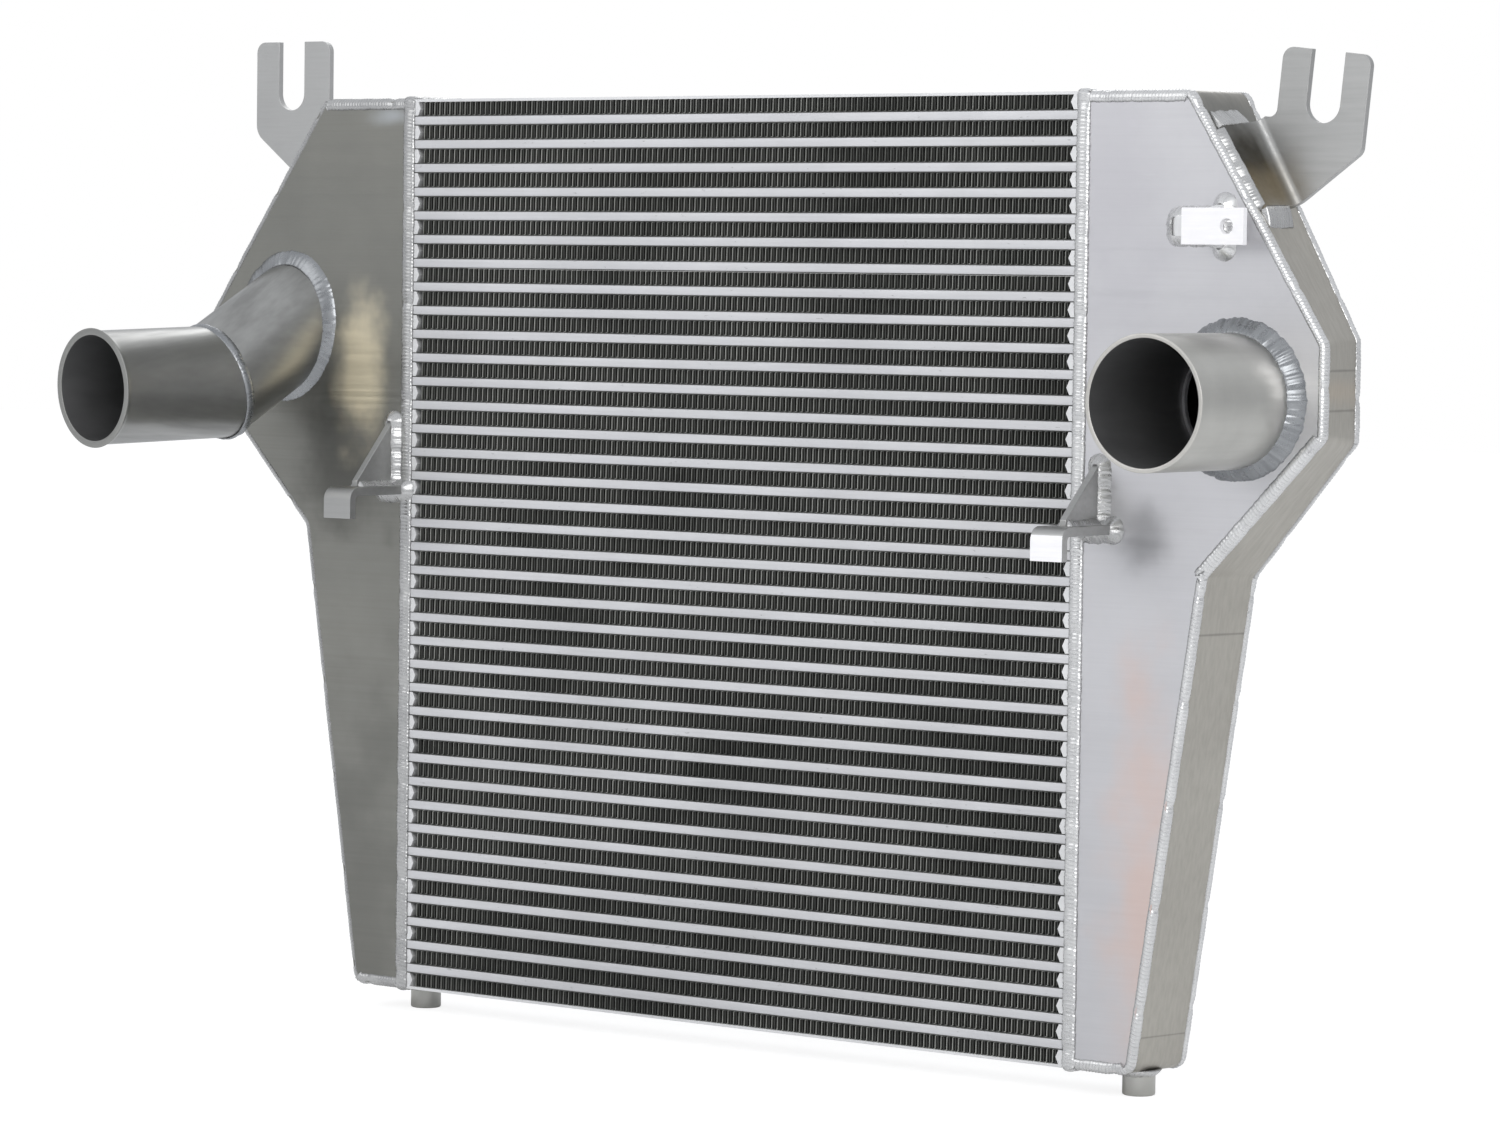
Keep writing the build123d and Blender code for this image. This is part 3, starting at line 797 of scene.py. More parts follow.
    def _tubes(self) -> dict[str, MetalFinish]:
        """Finishes of the tubes' outsides, turned edges and bores.

        Returns:
            Finish name to finish.
        """
        return {
            "tube": MetalFinish(
                "drawn_tube", (0.58, 0.575, 0.54), (0.46, 0.455, 0.43), (0.28, 0.44),
                (90.0, 6.0, 90.0), cloud_size=26.0, cloud_contrast=1.4, scuff_amount=-1.0,
            ),
            "tube_edge": MetalFinish(
                "turned_tube_edge", (0.62, 0.60, 0.56), (0.50, 0.49, 0.46), (0.30, 0.45), self.fine,
                metallic=0.6,
            ),
            "inlet_tube": MetalFinish(
                "drawn_inlet_tube", (0.47, 0.47, 0.455), (0.32, 0.32, 0.31), (0.28, 0.42),
                (70.0, 7.0, 40.0), grain_tone=0.45, cloud_size=14.0, cloud_contrast=1.2,
                scuff_amount=-1.0,
            ),
            "inlet_tube_edge": MetalFinish(
                "turned_inlet_edge", (0.34, 0.34, 0.32), (0.26, 0.26, 0.25), (0.30, 0.45),
                self.fine, metallic=0.6,
            ),
            # The bores' near-black colour is painted shade inside the tubes.
            "bore": MetalFinish(
                "tube_bore", (0.15, 0.15, 0.15), (0.10, 0.10, 0.10), (0.4, 0.6), (60.0, 10.0, 60.0),
                metallic=0.6,
            ),
        }

    def _brackets(self) -> dict[str, MetalFinish]:
        """Finishes of the forks and the brackets.

        Returns:
            Finish name to finish.
        """
        cut = (12.0, 200.0, 260.0)
        return {
            "bracket": MetalFinish(
                "bracket_sheet", (0.50, 0.50, 0.49), (0.42, 0.42, 0.41), (0.36, 0.50), cut,
                patches=(
                    # Painted shade in the right fork's flange: near black, brown towards its right
                    # edge.
                    Patch(
                        (0.403, 0.622), (0.048, 0.060), (0.05, 0.045, 0.035), 1.0, (0.002, 0.016)
                    ),
                    Patch((0.410, 0.606), (0.024, 0.040), (0.30, 0.25, 0.17), 0.7, (0.006, 0.017)),
                ),
            ),
            "left_fork": MetalFinish(
                "left_fork_sheet", (0.58, 0.58, 0.57), (0.48, 0.48, 0.47), (0.36, 0.50), cut
            ),
            # The webs' pale, non-metal colour is painted light that lifts them where they sit in
            # shade between plate and tank.
            "web": MetalFinish(
                "bracket_web_sheet", (0.86, 0.86, 0.86), (0.78, 0.78, 0.78), (0.5, 0.65), self.fine,
                metallic=0.0,
            ),
            # Near-white: the sawn faces' pale tone with painted light; only the right lower
            # bracket's end faces take it, the left's keep the grey bracket finish.
            "bright_face": MetalFinish(
                "sawn_and_lit_bracket_face", (0.95, 0.94, 0.95), (0.89, 0.88, 0.89), (0.5, 0.6),
                (40.0, 40.0, 400.0), metallic=0.05, scuff_amount=-1.0,
            ),
        }

    def __getitem__(self, name: str) -> bpy.types.Material:
        """Material of a named finish."""
        return self.by_name[name]


# --- Mesh helpers ---


def finished(
    name: str, mesh: bpy.types.Mesh, replaced: tuple[str, ...] = ()
) -> bpy.types.Object:
    """Put a mesh into the scene as a piece of the cooler.

    Args:
        name: Name of the piece.
        mesh: Its mesh, in place.
        replaced: Solids that the piece stands for.

    Returns:
        The object.
    """
    mesh.name = name
    piece = stood(name, mesh)
    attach(piece, BODY)
    if replaced:
        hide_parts(*replaced)
    triangles = sum(len(polygon.vertices) - 2 for polygon in mesh.polygons)
    LOG.info("%s: %d triangles", name, triangles)
    return piece


def turned_out(mesh: bpy.types.Mesh) -> None:
    """Turn a closed mesh's faces outwards, going by the sign of its volume.

    Args:
        mesh: The mesh.
    """
    shape = bmesh.new()
    shape.from_mesh(mesh)
    if shape.calc_volume(signed=True) < 0:
        bmesh.ops.reverse_faces(shape, faces=shape.faces)
        shape.to_mesh(mesh)
    shape.free()


def joined(meshes: list[bpy.types.Mesh]) -> bpy.types.Mesh:
    """Join meshes that share one material into one, and remove them.

    Args:
        meshes: The meshes, in place.

    Returns:
        The joined mesh.
    """
    shape = bmesh.new()
    for mesh in meshes:
        shape.from_mesh(mesh)
    whole = meshes[0].copy()
    shape.to_mesh(whole)
    shape.free()
    for mesh in meshes:
        bpy.data.meshes.remove(mesh)
    return whole


def realised(carrier: bpy.types.Object) -> bpy.types.Mesh:
    """Turn an object with a node modifier into a plain mesh, and remove the object.

    Args:
        carrier: Object whose modifier makes the shape.

    Returns:
        The evaluated mesh.
    """
    graph = bpy.context.evaluated_depsgraph_get()
    graph.update()
    mesh = bpy.data.meshes.new_from_object(carrier.evaluated_get(graph), depsgraph=graph)
    carrier.modifiers.clear()
    data = carrier.data
    bpy.data.objects.remove(carrier)
    if isinstance(data, bpy.types.Mesh):
        bpy.data.meshes.remove(data)
    else:
        bpy.data.curves.remove(data)
    return mesh


def grown(
    name: str, data: bpy.types.ID, tree: bpy.types.NodeTree, values: dict, place: Matrix
) -> bpy.types.Mesh:
    """Run a geometry node tree on a mesh or curve, and put what it makes in its place.

    Args:
        name: Name of the carrier.
        data: The mesh or curve that the tree starts from.
        tree: The tree.
        values: Socket name to value.
        place: Where the mesh goes.

    Returns:
        The mesh, facing outwards.
    """
    carrier = stood(name, data)
    modifier = carrier.modifiers.new("grow", "NODES")
    modifier.node_group = tree
    for item in tree.interface.items_tree:
        if item.item_type == "SOCKET" and item.in_out == "INPUT" and item.name in values:
            modifier[item.identifier] = values[item.name]
    mesh = realised(carrier)
    mesh.transform(place)
    turned_out(mesh)
    return mesh


def started(
    name: str, floats: tuple[str, ...], counts: tuple[str, ...]
) -> tuple[TreeBuilder, bpy.types.NodeOutputs, bpy.types.Node]:
    """Make an empty geometry tree with named inputs.

    Args:
        name: Name of the tree.
        floats: Names of its sizes.
        counts: Names of its whole numbers.

    Returns:
        Its builder, its inputs' sockets and its output node.
    """
    tree = bpy.data.node_groups.new(name, "GeometryNodeTree")
    group_socket(tree, "Geometry", False, "NodeSocketGeometry")
    for item in floats:
        group_socket(tree, item, False, "NodeSocketFloat", 0.001)
    for item in counts:
        group_socket(tree, item, False, "NodeSocketInt", 1)
    group_socket(tree, "Material", False, "NodeSocketMaterial")
    group_socket(tree, "Geometry", True, "NodeSocketGeometry")
    return TreeBuilder(tree), tree.nodes.new("NodeGroupInput").outputs, tree.nodes.new(
        "NodeGroupOutput"
    )


def ended(
    build: TreeBuilder, geometry: Socket, given: bpy.types.NodeOutputs, result: bpy.types.Node
) -> None:
    """End a geometry tree with real geometry in its material.

    Args:
        build: The tree's builder.
        geometry: Socket of the finished geometry.
        given: The tree's inputs.
        result: The tree's output node.
    """
    real = build.out("GeometryNodeRealizeInstances", {0: geometry})
    dressed = build.out(
        "GeometryNodeSetMaterial", {"Geometry": real, "Material": given["Material"]}
    )
    build.link(dressed, result.inputs[0])


# --- Core ---


@dataclass
class FinPack:
    """Rows of folded fins between the bars, lanced near both faces of the core."""

    material: bpy.types.Material
    pitch: float = 4.8 * MM
    sheet: float = 0.42 * MM
    jitter: float = 0.55 * MM
    lance: float = 4.0 * MM
    gap: float = 0.2 * MM

    def tree(self) -> bpy.types.NodeTree:
        """Build the tree that folds one strip and stacks its rows.

        Returns:
            The geometry node tree.
        """
        sizes = ("Length", "Depth", "Height", "Row Pitch", "Sheet", "Jitter")
        build, given, result = started("folded_fin_rows", sizes, ("Corners", "Rows", "Seed"))
        step = build.vector(0.0, 0.0, given["Row Pitch"])
        rows = build.out("GeometryNodeMeshLine", {"Count": given["Rows"], "Offset": step})
        strip = build.out(
            "GeometryNodeMeshGrid",
            {
                "Size X": given["Length"], "Size Y": given["Depth"], "Vertices X": given["Corners"],
                "Vertices Y": 2,
            },
        )
        placed = build.out("GeometryNodeInstanceOnPoints", {"Points": rows, "Instance": strip})
        flat = build.out("GeometryNodeRealizeInstances", {0: placed})
        index = build.out("GeometryNodeInputIndex")
        corner = build.math("FLOOR", build.times(index, 0.5))
        inside = build.math("MODULO", corner, given["Corners"])
        row = build.math("FLOOR", build.math("DIVIDE", corner, given["Corners"]))
        is_up = build.math("COMPARE", build.math("MODULO", inside, 4.0), 1.5, 0.6)
        height = build.times(build.minus(is_up, 0.5), given["Height"])
        place = build.vector(build.times(inside, 0.37), row, given["Seed"])
        wander = build.times(build.minus(build.noise(place, 0.9, 1.0), 0.5), given["Jitter"])
        even = build.math("COMPARE", build.math("MODULO", inside, 2.0), 0.0, 0.1)
        shift = build.plus(wander, build.times(even, 0.001))
        rising = build.math("LESS_THAN", build.math("MODULO", inside, 4.0), 1.5)
        marked = build.out(
            "GeometryNodeStoreNamedAttribute",
            {"Geometry": flat, "Name": "rising", "Value": rising}, data_type="FLOAT",
            domain="POINT",
        )
        moved = build.out(
            "GeometryNodeSetPosition", {0: marked, "Offset": build.vector(shift, 0.0, height)}
        )
        raised = build.out(
            "GeometryNodeExtrudeMesh",
            {
                "Mesh": moved, "Offset": build.vector(given["Sheet"], 0.0, given["Sheet"]),
                "Offset Scale": 1.0, "Individual": False,
            },
        )
        under = build.out("GeometryNodeFlipFaces", {0: moved})
        both = build.add("GeometryNodeJoinGeometry")
        build.link(raised, both.inputs[0])
        build.link(under, both.inputs[0])
        closed = build.out("GeometryNodeMergeByDistance", {0: both.outputs[0], "Distance": 1e-6})
        ended(build, closed, given, result)
        return build.tree

    def layers(self) -> list[tuple[str, float, float, float]]:
        """Lay out the layers of fins.

        Returns:
            Name, middle, depth and sideways shift of each layer, front to rear.
        """
        front, back = CORE.front + CORE.fin_setback, CORE.back - CORE.fin_setback
        taken = self.lance + self.gap
        half = self.pitch / 4
        return [
            ("front_lanced_fins", front + self.lance / 2, self.lance, half),
            ("folded_fins", 0.0, back - front - 2 * taken, 0.0),
            ("rear_lanced_fins", back - self.lance / 2, self.lance, half),
        ]

    def build(self) -> None:
        """Make the fins and put them in place of the solids' coarse folds."""
        length = CORE.right - CORE.left - 2 * CORE.end_bar - 2.5 * MM
        corners = 4 * round(length / self.pitch)
        tree = self.tree()
        middle = (CORE.left + CORE.right) / 2 - 0.8 * MM
        lift = CORE.row_floor + (CORE.fin_height - self.sheet) / 2
        for seed, (name, where, depth, shift) in enumerate(self.layers()):
            values = {
                "Length": length, "Depth": depth, "Height": CORE.fin_height - 1.5 * self.sheet,
                "Row Pitch": CORE.row_pitch, "Sheet": self.sheet, "Jitter": self.jitter,
                "Corners": corners, "Rows": CORE.passages + 1, "Seed": 3 + seed,
                "Material": self.material,
            }
            place = Matrix.Translation((middle + shift, where, lift))
            mesh = grown(name, bpy.data.meshes.new(name), tree, values, place)
            finished(name, mesh, ("ambient_fins",))


@dataclass
class ChargeBars:
    """Bars that close the charge-air passages, with softly rounded edges."""

    material: bpy.types.Material
    rounding: float = 0.8 * MM

    def tree(self) -> bpy.types.NodeTree:
        """Build the tree that draws one bar and stacks it.

        Returns:
            The geometry node tree.
        """
        sizes = ("Length", "Depth", "Height", "Row Pitch", "Rounding")
        build, given, result = started("charge_bar_stack", sizes, ("Rows",))
        outline = build.out(
            "GeometryNodeCurvePrimitiveQuadrilateral", {
                "Width": given["Depth"], "Height": given["Height"]
            }
        )
        rounded = build.out(
            "GeometryNodeFilletCurve", {
                "Curve": outline, "Count": 3, "Radius": given["Rounding"]
            }, mode="POLY"
        )
        line = build.out("GeometryNodeCurvePrimitiveLine", {"End": build.vector(given["Length"])})
        bar = build.out(
            "GeometryNodeCurveToMesh",
            {"Curve": line, "Profile Curve": rounded, "Fill Caps": True},
        )
        soft = build.out("GeometryNodeSetShadeSmooth", {0: bar})
        step = build.vector(0.0, 0.0, given["Row Pitch"])
        rows = build.out("GeometryNodeMeshLine", {"Count": given["Rows"], "Offset": step})
        placed = build.out("GeometryNodeInstanceOnPoints", {"Points": rows, "Instance": soft})
        ended(build, placed, given, result)
        return build.tree

    def build(self) -> None:
        """Make the bars of both faces."""
        tree = self.tree()
        lift = CORE.row_floor + CORE.fin_height + CORE.sheet + CORE.bar_height / 2
        values = {
            "Length": CORE.right - CORE.left, "Depth": CORE.bar_depth, "Height": CORE.bar_height,
            "Row Pitch": CORE.row_pitch, "Rounding": self.rounding, "Rows": CORE.passages,
            "Material": self.material,
        }
        for end, where in (
            ("front", CORE.front + CORE.bar_depth / 2), ("rear", CORE.back - CORE.bar_depth / 2)
        ):
            name = f"rounded_bars_{end}"
            place = Matrix.Translation((CORE.left, where, lift))
            mesh = grown(name, bpy.data.meshes.new(name), tree, values, place)
            mesh.set_sharp_from_angle(angle=math.radians(50))
            finished(name, mesh, (f"charge_bars_{end}",))


# --- Weld beads ---


@dataclass(frozen=True)
class BeadShape:
    """Section and ripples of a weld bead."""

    half_width: float
    rise: float
    root: float = 1.5 * MM
    tilt: float = 0.0
    out: float = 0.0
    lift: float = 0.0
    pitch: float = 2.6 * MM
    depth: float = 0.22 * MM
    wander: float = 0.4 * MM
    ragged: float = 0.16
    stops: float = 70.0 * MM


def socket_name(field: str) -> str:
    """Name of the tree's input that takes a field of the bead's section."""
    return field.replace("_", " ").title()


class WeldTree:
    """Geometry node tree that sweeps a rippled bead along a flat curve.

    Its noises are given in waves to the metre, about.
    """

    around: int = 14
    lump: float = 4.6 * MM
    drift: float = 60.0
    fine_swell: float = 330.0
    broad_swell: float = 95.0
    uneven_ripples: float = 150.0
    uneven_rise: float = 80.0
    crescent: float = 0.55
    ripple_middle: float = 0.6
    stop_shift: float = 0.31
    lump_rise: float = 2.4
    swell_rise: float = 3.0

    def __init__(self) -> None:
        """Build the tree once."""
        sizes = (*(socket_name(field.name) for field in fields(BeadShape)), "Step")
        self.build, self.given, result = started("weld_bead", sizes, ("Seed",))
        build, given = self.build, self.given
        evenly = build.out(
            "GeometryNodeResampleCurve", {
                "Curve": given["Geometry"], "Length": given["Step"]
            }, mode="LENGTH"
        )
        upright = build.out("GeometryNodeSetCurveNormal", {"Curve": evenly}, mode="Z_UP")
        along = build.add("GeometryNodeSplineParameter").outputs["Length"]
        measured = self._stored(upright, "along", along)
        noises = (self._noise(along, self.drift, shift) for shift in (0.0, 3.3))
        drift = (build.times(noise, given["Wander"]) for noise in noises)
        moved = build.out(
            "GeometryNodeSetPosition", {"Geometry": measured, "Offset": build.vector(*drift)}
        )
        own = build.out("GeometryNodeInputRadius")
        rough = build.times(self._noise(along, self.fine_swell, 1.7), given["Ragged"])
        rough = build.times_plus(self._noise(along, self.broad_swell, 6.1), given["Ragged"], rough)
        swept = build.out(
            "GeometryNodeCurveToMesh",
            {
                "Curve": moved, "Profile Curve": self._section(), "Fill Caps": True,
                "Scale": build.times(own, build.plus(rough, 1.0)),
            },
        )
        smooth = build.out("GeometryNodeSetShadeSmooth", {0: self._ripples(swept)})
        ended(build, smooth, given, result)
        self.tree = build.tree

    def _stored(self, geometry: Socket, name: str, value: Socket) -> Socket:
        """Keep a value as a named attribute.

        Args:
            geometry: Geometry that takes the attribute.
            name: The attribute's name.
            value: Its value.

        Returns:
            The geometry with the attribute.
        """
        inputs = {"Geometry": geometry, "Name": name, "Value": value}
        return self.build.out(
            "GeometryNodeStoreNamedAttribute", inputs, data_type="FLOAT", domain="POINT"
        )

    def _named(self, name: str) -> Socket:
        """Value of a named attribute."""
        return self.build.out("GeometryNodeInputNamedAttribute", {"Name": name}, data_type="FLOAT")

    def _noise(self, along: Socket, scale: float, shift: float) -> Socket:
        """Centred noise along the path.

        Args:
            along: Length along the path.
            scale: Waves in a metre, about.
            shift: Shift between independent noises.

        Returns:
            Value from about -0.5 to 0.5.
        """
        build = self.build
        seed = build.times_plus(self.given["Seed"], 7.31, shift)
        place = build.vector(build.times(along, scale), seed)
        return build.minus(build.noise(place, 1.0, 2.0), 0.5)

    def _section(self) -> Socket:
        """Closed section: a crown above and a root below, turned by the tilt.

        Returns:
            The profile curve, with its crown and its place across kept as attributes.
        """
        build, given = self.build, self.given
        circle = build.out(
            "GeometryNodeCurvePrimitiveCircle", {"Resolution": self.around, "Radius": 1.0}
        )
        place = build.add(
            "ShaderNodeSeparateXYZ", {0: build.out("GeometryNodeInputPosition")}
        ).outputs
        above = build.math("MAXIMUM", place[1], 0.0)
        across = self._stored(self._stored(circle, "crown", above), "across", place[0])
        below = build.math("MINIMUM", place[1], 0.0)
        x = build.times(place[0], given["Half Width"])
        y = build.times_plus(above, given["Rise"], build.times(below, given["Root"]))
        sine, cosine = build.math("SINE", given["Tilt"]), build.math("COSINE", given["Tilt"])
        turned_x = build.minus(build.times(x, cosine), build.times(y, sine))
        turned_y = build.times_plus(x, sine, build.times(y, cosine))
        out_of_page = build.plus(turned_y, given["Lift"])
        spot = build.vector(build.plus(turned_x, given["Out"]), build.times(out_of_page, -1.0))
        return build.out("GeometryNodeSetPosition", {"Geometry": across, "Position": spot})

    def _ripples(self, mesh: Socket) -> Socket:
        """Raise crescent ripples and the lumps where the welder stopped.

        Args:
            mesh: The swept bead.

        Returns:
            The rippled mesh, with the ripples' height kept as an attribute.
        """
        build, given = self.build, self.given
        along, across, crown = self._named("along"), self._named("across"), self._named("crown")
        crescent = build.times(build.times(across, across), self.crescent)
        uneven = build.times(self._noise(along, self.uneven_ripples, 9.1), 0.9)
        turns = build.plus(
            build.math("DIVIDE", along, given["Pitch"]), build.plus(crescent, uneven)
        )
        hump = build.math("SINE", build.times(build.math("FRACT", turns), math.pi))
        kept = self._stored(mesh, "crest", hump)
        height = build.times(build.minus(hump, self.ripple_middle), given["Depth"])
        stop = build.math(
            "FRACT", build.plus(build.math("DIVIDE", along, given["Stops"]), self.stop_shift)
        )
        away = build.times(build.math("ABSOLUTE", build.minus(stop, 0.5)), given["Stops"])
        near = build.times_plus(away, -1.0 / self.lump, 1.0)
        lump = build.times(build.math("MAXIMUM", near, 0.0), self.lump_rise)
        swell = build.times(self._noise(along, self.uneven_rise, 5.7), self.swell_rise)
        extra = build.times(build.plus(lump, swell), given["Depth"])
        rise = build.times(build.plus(height, extra), build.ramp(crown, 0.0, 0.35))
        normal = build.out("GeometryNodeInputNormal")
        offset = build.out("ShaderNodeVectorMath", {0: normal, "Scale": rise}, operation="SCALE")
        return build.out("GeometryNodeSetPosition", {"Geometry": kept, "Offset": offset})


@dataclass
class Weld:
    """One bead, drawn on a flat sheet of paper and then put in place."""

    points: list[Vector]
    shape: BeadShape
    place: Matrix
    closed: bool = False
    seed: int = 1
    taper: float = 1.6 * MM
    step: float = 0.6 * MM

    def mesh(self, tree: WeldTree, material: bpy.types.Material) -> bpy.types.Mesh:
        """Sweep the bead.

        Args:
            tree: The shared weld tree.
            material: Finish of the bead.

        Returns:
            Its mesh, in place and facing outwards.
        """
        curve = bpy.data.curves.new("bead", "CURVE")
        curve.dimensions = "3D"
        spline = curve.splines.new("POLY")
        line = self.points if self.closed else self._with_ends()
        spline.points.add(len(line) - 1)
        for index, (target, point) in enumerate(zip(spline.points, line)):
            target.co = (point[0], point[1], 0.0, 1.0)
            target.radius = 0.25 if not self.closed and index in (0, len(line) - 1) else 1.0
        spline.use_cyclic_u = self.closed
        values = {
            socket_name(field.name): getattr(self.shape, field.name) for field in fields(BeadShape)
        }
        values |= {
            "Tilt": math.radians(self.shape.tilt), "Step": self.step, "Seed": self.seed,
            "Material": material,
        }
        return grown("bead", curve, tree.tree, values, self.place)

    def _with_ends(self) -> list[Vector]:
        """Add a point close to each end, from which the bead tapers.

        Returns:
            Points of the line.
        """
        first = self.points[0] + (self.points[1] - self.points[0]).normalized() * self.taper
        last = self.points[-1] + (self.points[-2] - self.points[-1]).normalized() * self.taper
        return [self.points[0], first, *self.points[1:-1], last, self.points[-1]]


def placed(origin: Vector, across: Vector, up: Vector) -> Matrix:
    """Matrix that puts a flat drawing in the room.

    Args:
        origin: Where the drawing's origin goes.
        across: Direction of its x.
        up: Direction of its y.

    Returns:
        The matrix. Lift out of the page goes along across x up.
    """
    out = across.cross(up)
    turn = Matrix((across, up, out)).transposed().to_4x4()
    return Matrix.Translation(origin) @ turn


def facing(face: Face) -> Matrix:
    """Matrix that puts a flat drawing (x, z up the page) on the front or the rear of the core.

    Args:
        face: The side of the cooler.

    Returns:
        The matrix. Lift out of the page becomes a distance out of the face.
    """
    level = CORE.front if face is Face.FRONT else CORE.back
    return Matrix(((1, 0, 0, 0), (0, 0, -face.value, level), (0, 1, 0, 0), (0, 0, 0, 1)))


def rounded_path(
    points: list[Vector], radius: float, step: float = 0.12
) -> tuple[list[Vector], list[int]]:
    """Round the inner corners of an open line.

    Args:
        points: Corners of the line.
        radius: Radius of each bend.
        step: Angle between points of a bend, in radians.

    Returns:
        Points of the rounded line, and the index of each bend's middle point.
    """
    line, middles = [points[0]], []
    for before, corner, after in zip(points, points[1:], points[2:]):
        arrive, leave = (corner - before).normalized(), (after - corner).normalized()
        turn = math.atan2(arrive.x * leave.y - arrive.y * leave.x, arrive.dot(leave))
        reach = radius * math.tan(abs(turn) / 2)
        normal = Vector((-arrive.y, arrive.x)) * math.copysign(1, turn)
        centre = corner - arrive * reach + normal * radius
        count = 2 * max(1, round(abs(turn) / step / 2))
        start = corner - arrive * reach - centre
        middles.append(len(line) + count // 2)
        for index in range(count + 1):
            spun = start.copy()
            spun.rotate(Matrix.Rotation(turn * index / count, 2))
            line.append(centre + spun)
    line.append(points[-1])
    return line, middles


def ring(radius: float, squash: float = 1.0, count: int = 96) -> list[Vector]:
    """Counter-clockwise ring, so that a bead's out is away from its middle.

    Args:
        radius: Radius along the drawing's y.
        squash: Radius along x over that along y.
        count: Number of points.

    Returns:
        Its points, starting at the bottom.
    """
    angles = (math.tau * index / count - math.pi / 2 for index in range(count))
    return [
        Vector((radius * squash * math.cos(angle), radius * math.sin(angle))) for angle in angles
    ]


# --- Welds of the tanks ---


@dataclass
class WeldShop:
    """Makes beads with the shared tree and joins those that make one piece."""

    tree: WeldTree
    finishes: Finishes
    low: Vector
    high: Vector

    def piece(
        self, name: str, welds: list[Weld], finish: str = "weld", replaced: tuple[str, ...] = ()
    ) -> None:
        """Sweep the beads of one piece and put it into the scene.

        Args:
            name: Name of the piece.
            welds: Its beads.
            finish: Name of their finish.
            replaced: Solids that the piece stands for.
        """
        mesh = joined([weld.mesh(self.tree, self.finishes[finish]) for weld in welds])
        for vertex in mesh.vertices:
            vertex.co = Vector(
                sorted((a, b, c))[1] for a, b, c in zip(self.low, vertex.co, self.high)
            )
        finished(name, mesh, replaced)


@dataclass
class TankWelds:
    """Welds of one tank: both rims, and the beads between tank and core."""

    sizes: TankSizes
    shop: WeldShop
    edge: BeadShape = BeadShape(
        5.0 * MM, 4.3 * MM, 2.0 * MM, 40.5, 3.8 * MM, -3.3 * MM, depth=0.30 * MM
    )
    flank: BeadShape = BeadShape(
        4.2 * MM, 3.2 * MM, 2.0 * MM, 66.0, 2.1 * MM, -3.6 * MM, depth=0.30 * MM
    )
    seam: BeadShape = BeadShape(
        5.4 * MM, 2.3 * MM, 1.0 * MM, depth=0.34 * MM, wander=0.9 * MM, ragged=0.24
    )
    rear_step: float = 0.9 * MM
    pin_gap: float = 11.4 * MM
    first_seed: int = 11

    def _towards(self, shape: BeadShape) -> BeadShape:
        """The same section, leaning the right way on this tank."""
        side = self.sizes.side.value
        return replace(shape, tilt=side * shape.tilt, out=side * shape.out)

    def rim(self, face: Face) -> list[Weld]:
        """Beads round one rim: along the top, down the side and along the foot.

        Args:
            face: The tank's face.

        Returns:
            The beads.
        """
        corners = self.sizes.corners(face)
        for end in (corners[0], corners[-1]):
            end.x += self.sizes.side.value * 3 * MM
        line, bends = rounded_path(corners, self.sizes.bend)
        over, _, hip, waist, foot = bends
        runs = [
            (0, over + 1, self.edge), (over - 1, foot + 1, self.flank),
            (foot - 1, len(line) - 1, self.edge),
        ]
        if self.sizes.side is Side.RIGHT:
            runs[1:2] = [
                (over - 1, hip + 1, self.flank), (hip - 1, waist + 1, self.edge),
                (waist - 1, foot + 1, self.flank),
            ]
        step = 0.6 * MM if face is Face.FRONT else self.rear_step
        return [
            Weld(
                line[start:end + 1], self._towards(shape), facing(face),
                seed=self.first_seed + index, step=step,
            )
            for index, (start, end, shape) in enumerate(runs)
        ]

    def seams(self) -> list[Weld]:
        """Lay the beads between the tank and the core: front, rear, top and bottom.

        Returns:
            The beads; the left tank's lower one leaves room for its pin.
        """
        x = self.sizes.seam
        low, high = CORE.bottom - 0.8 * MM, CORE.top + 0.8 * MM
        upright = [Vector((x, low)), Vector((x, high))]
        deep = [Vector((0.0, CORE.front - 0.8 * MM)), Vector((0.0, CORE.back + 0.8 * MM))]
        beads = [Weld(upright, self.seam, facing(face), seed=31 + face.value) for face in Face]
        beads[1].step = self.rear_step
        across, along = Vector((1, 0, 0)), Vector((0, 1, 0))
        above = placed(Vector((x, 0, CORE.top)), across, along)
        beads.append(Weld(deep, self.seam, above, seed=41))
        under = placed(Vector((x, 0, CORE.bottom)), across, -along)
        if self.sizes.side is Side.RIGHT:
            beads.append(Weld(deep, self.seam, under, seed=42))
        else:
            gap = self.pin_gap
            for seed, ends in enumerate(((deep[0].y, -gap), (gap, deep[1].y))):
                line = [Vector((0.0, end)) for end in ends]
                beads.append(Weld(line, self.seam, under, seed=43 + seed))
        return beads

    def build(self) -> None:
        """Make the beads."""
        name = self.sizes.name
        # The left tank's beads take the darker copy of the bead: painted shade.
        finish = "weld" if self.sizes.side is Side.RIGHT else "left_weld"
        for face, end in ((Face.FRONT, "front"), (Face.REAR, "rear")):
            self.shop.piece(
                f"{name}_rim_bead_{end}", self.rim(face), finish, (f"{name}_rim_weld_{end}",)
            )
        self.shop.piece(f"{name}_seam_beads", self.seams(), finish, (f"{name}_core_welds",))


# --- Welds of the brackets, tubes and pins ---


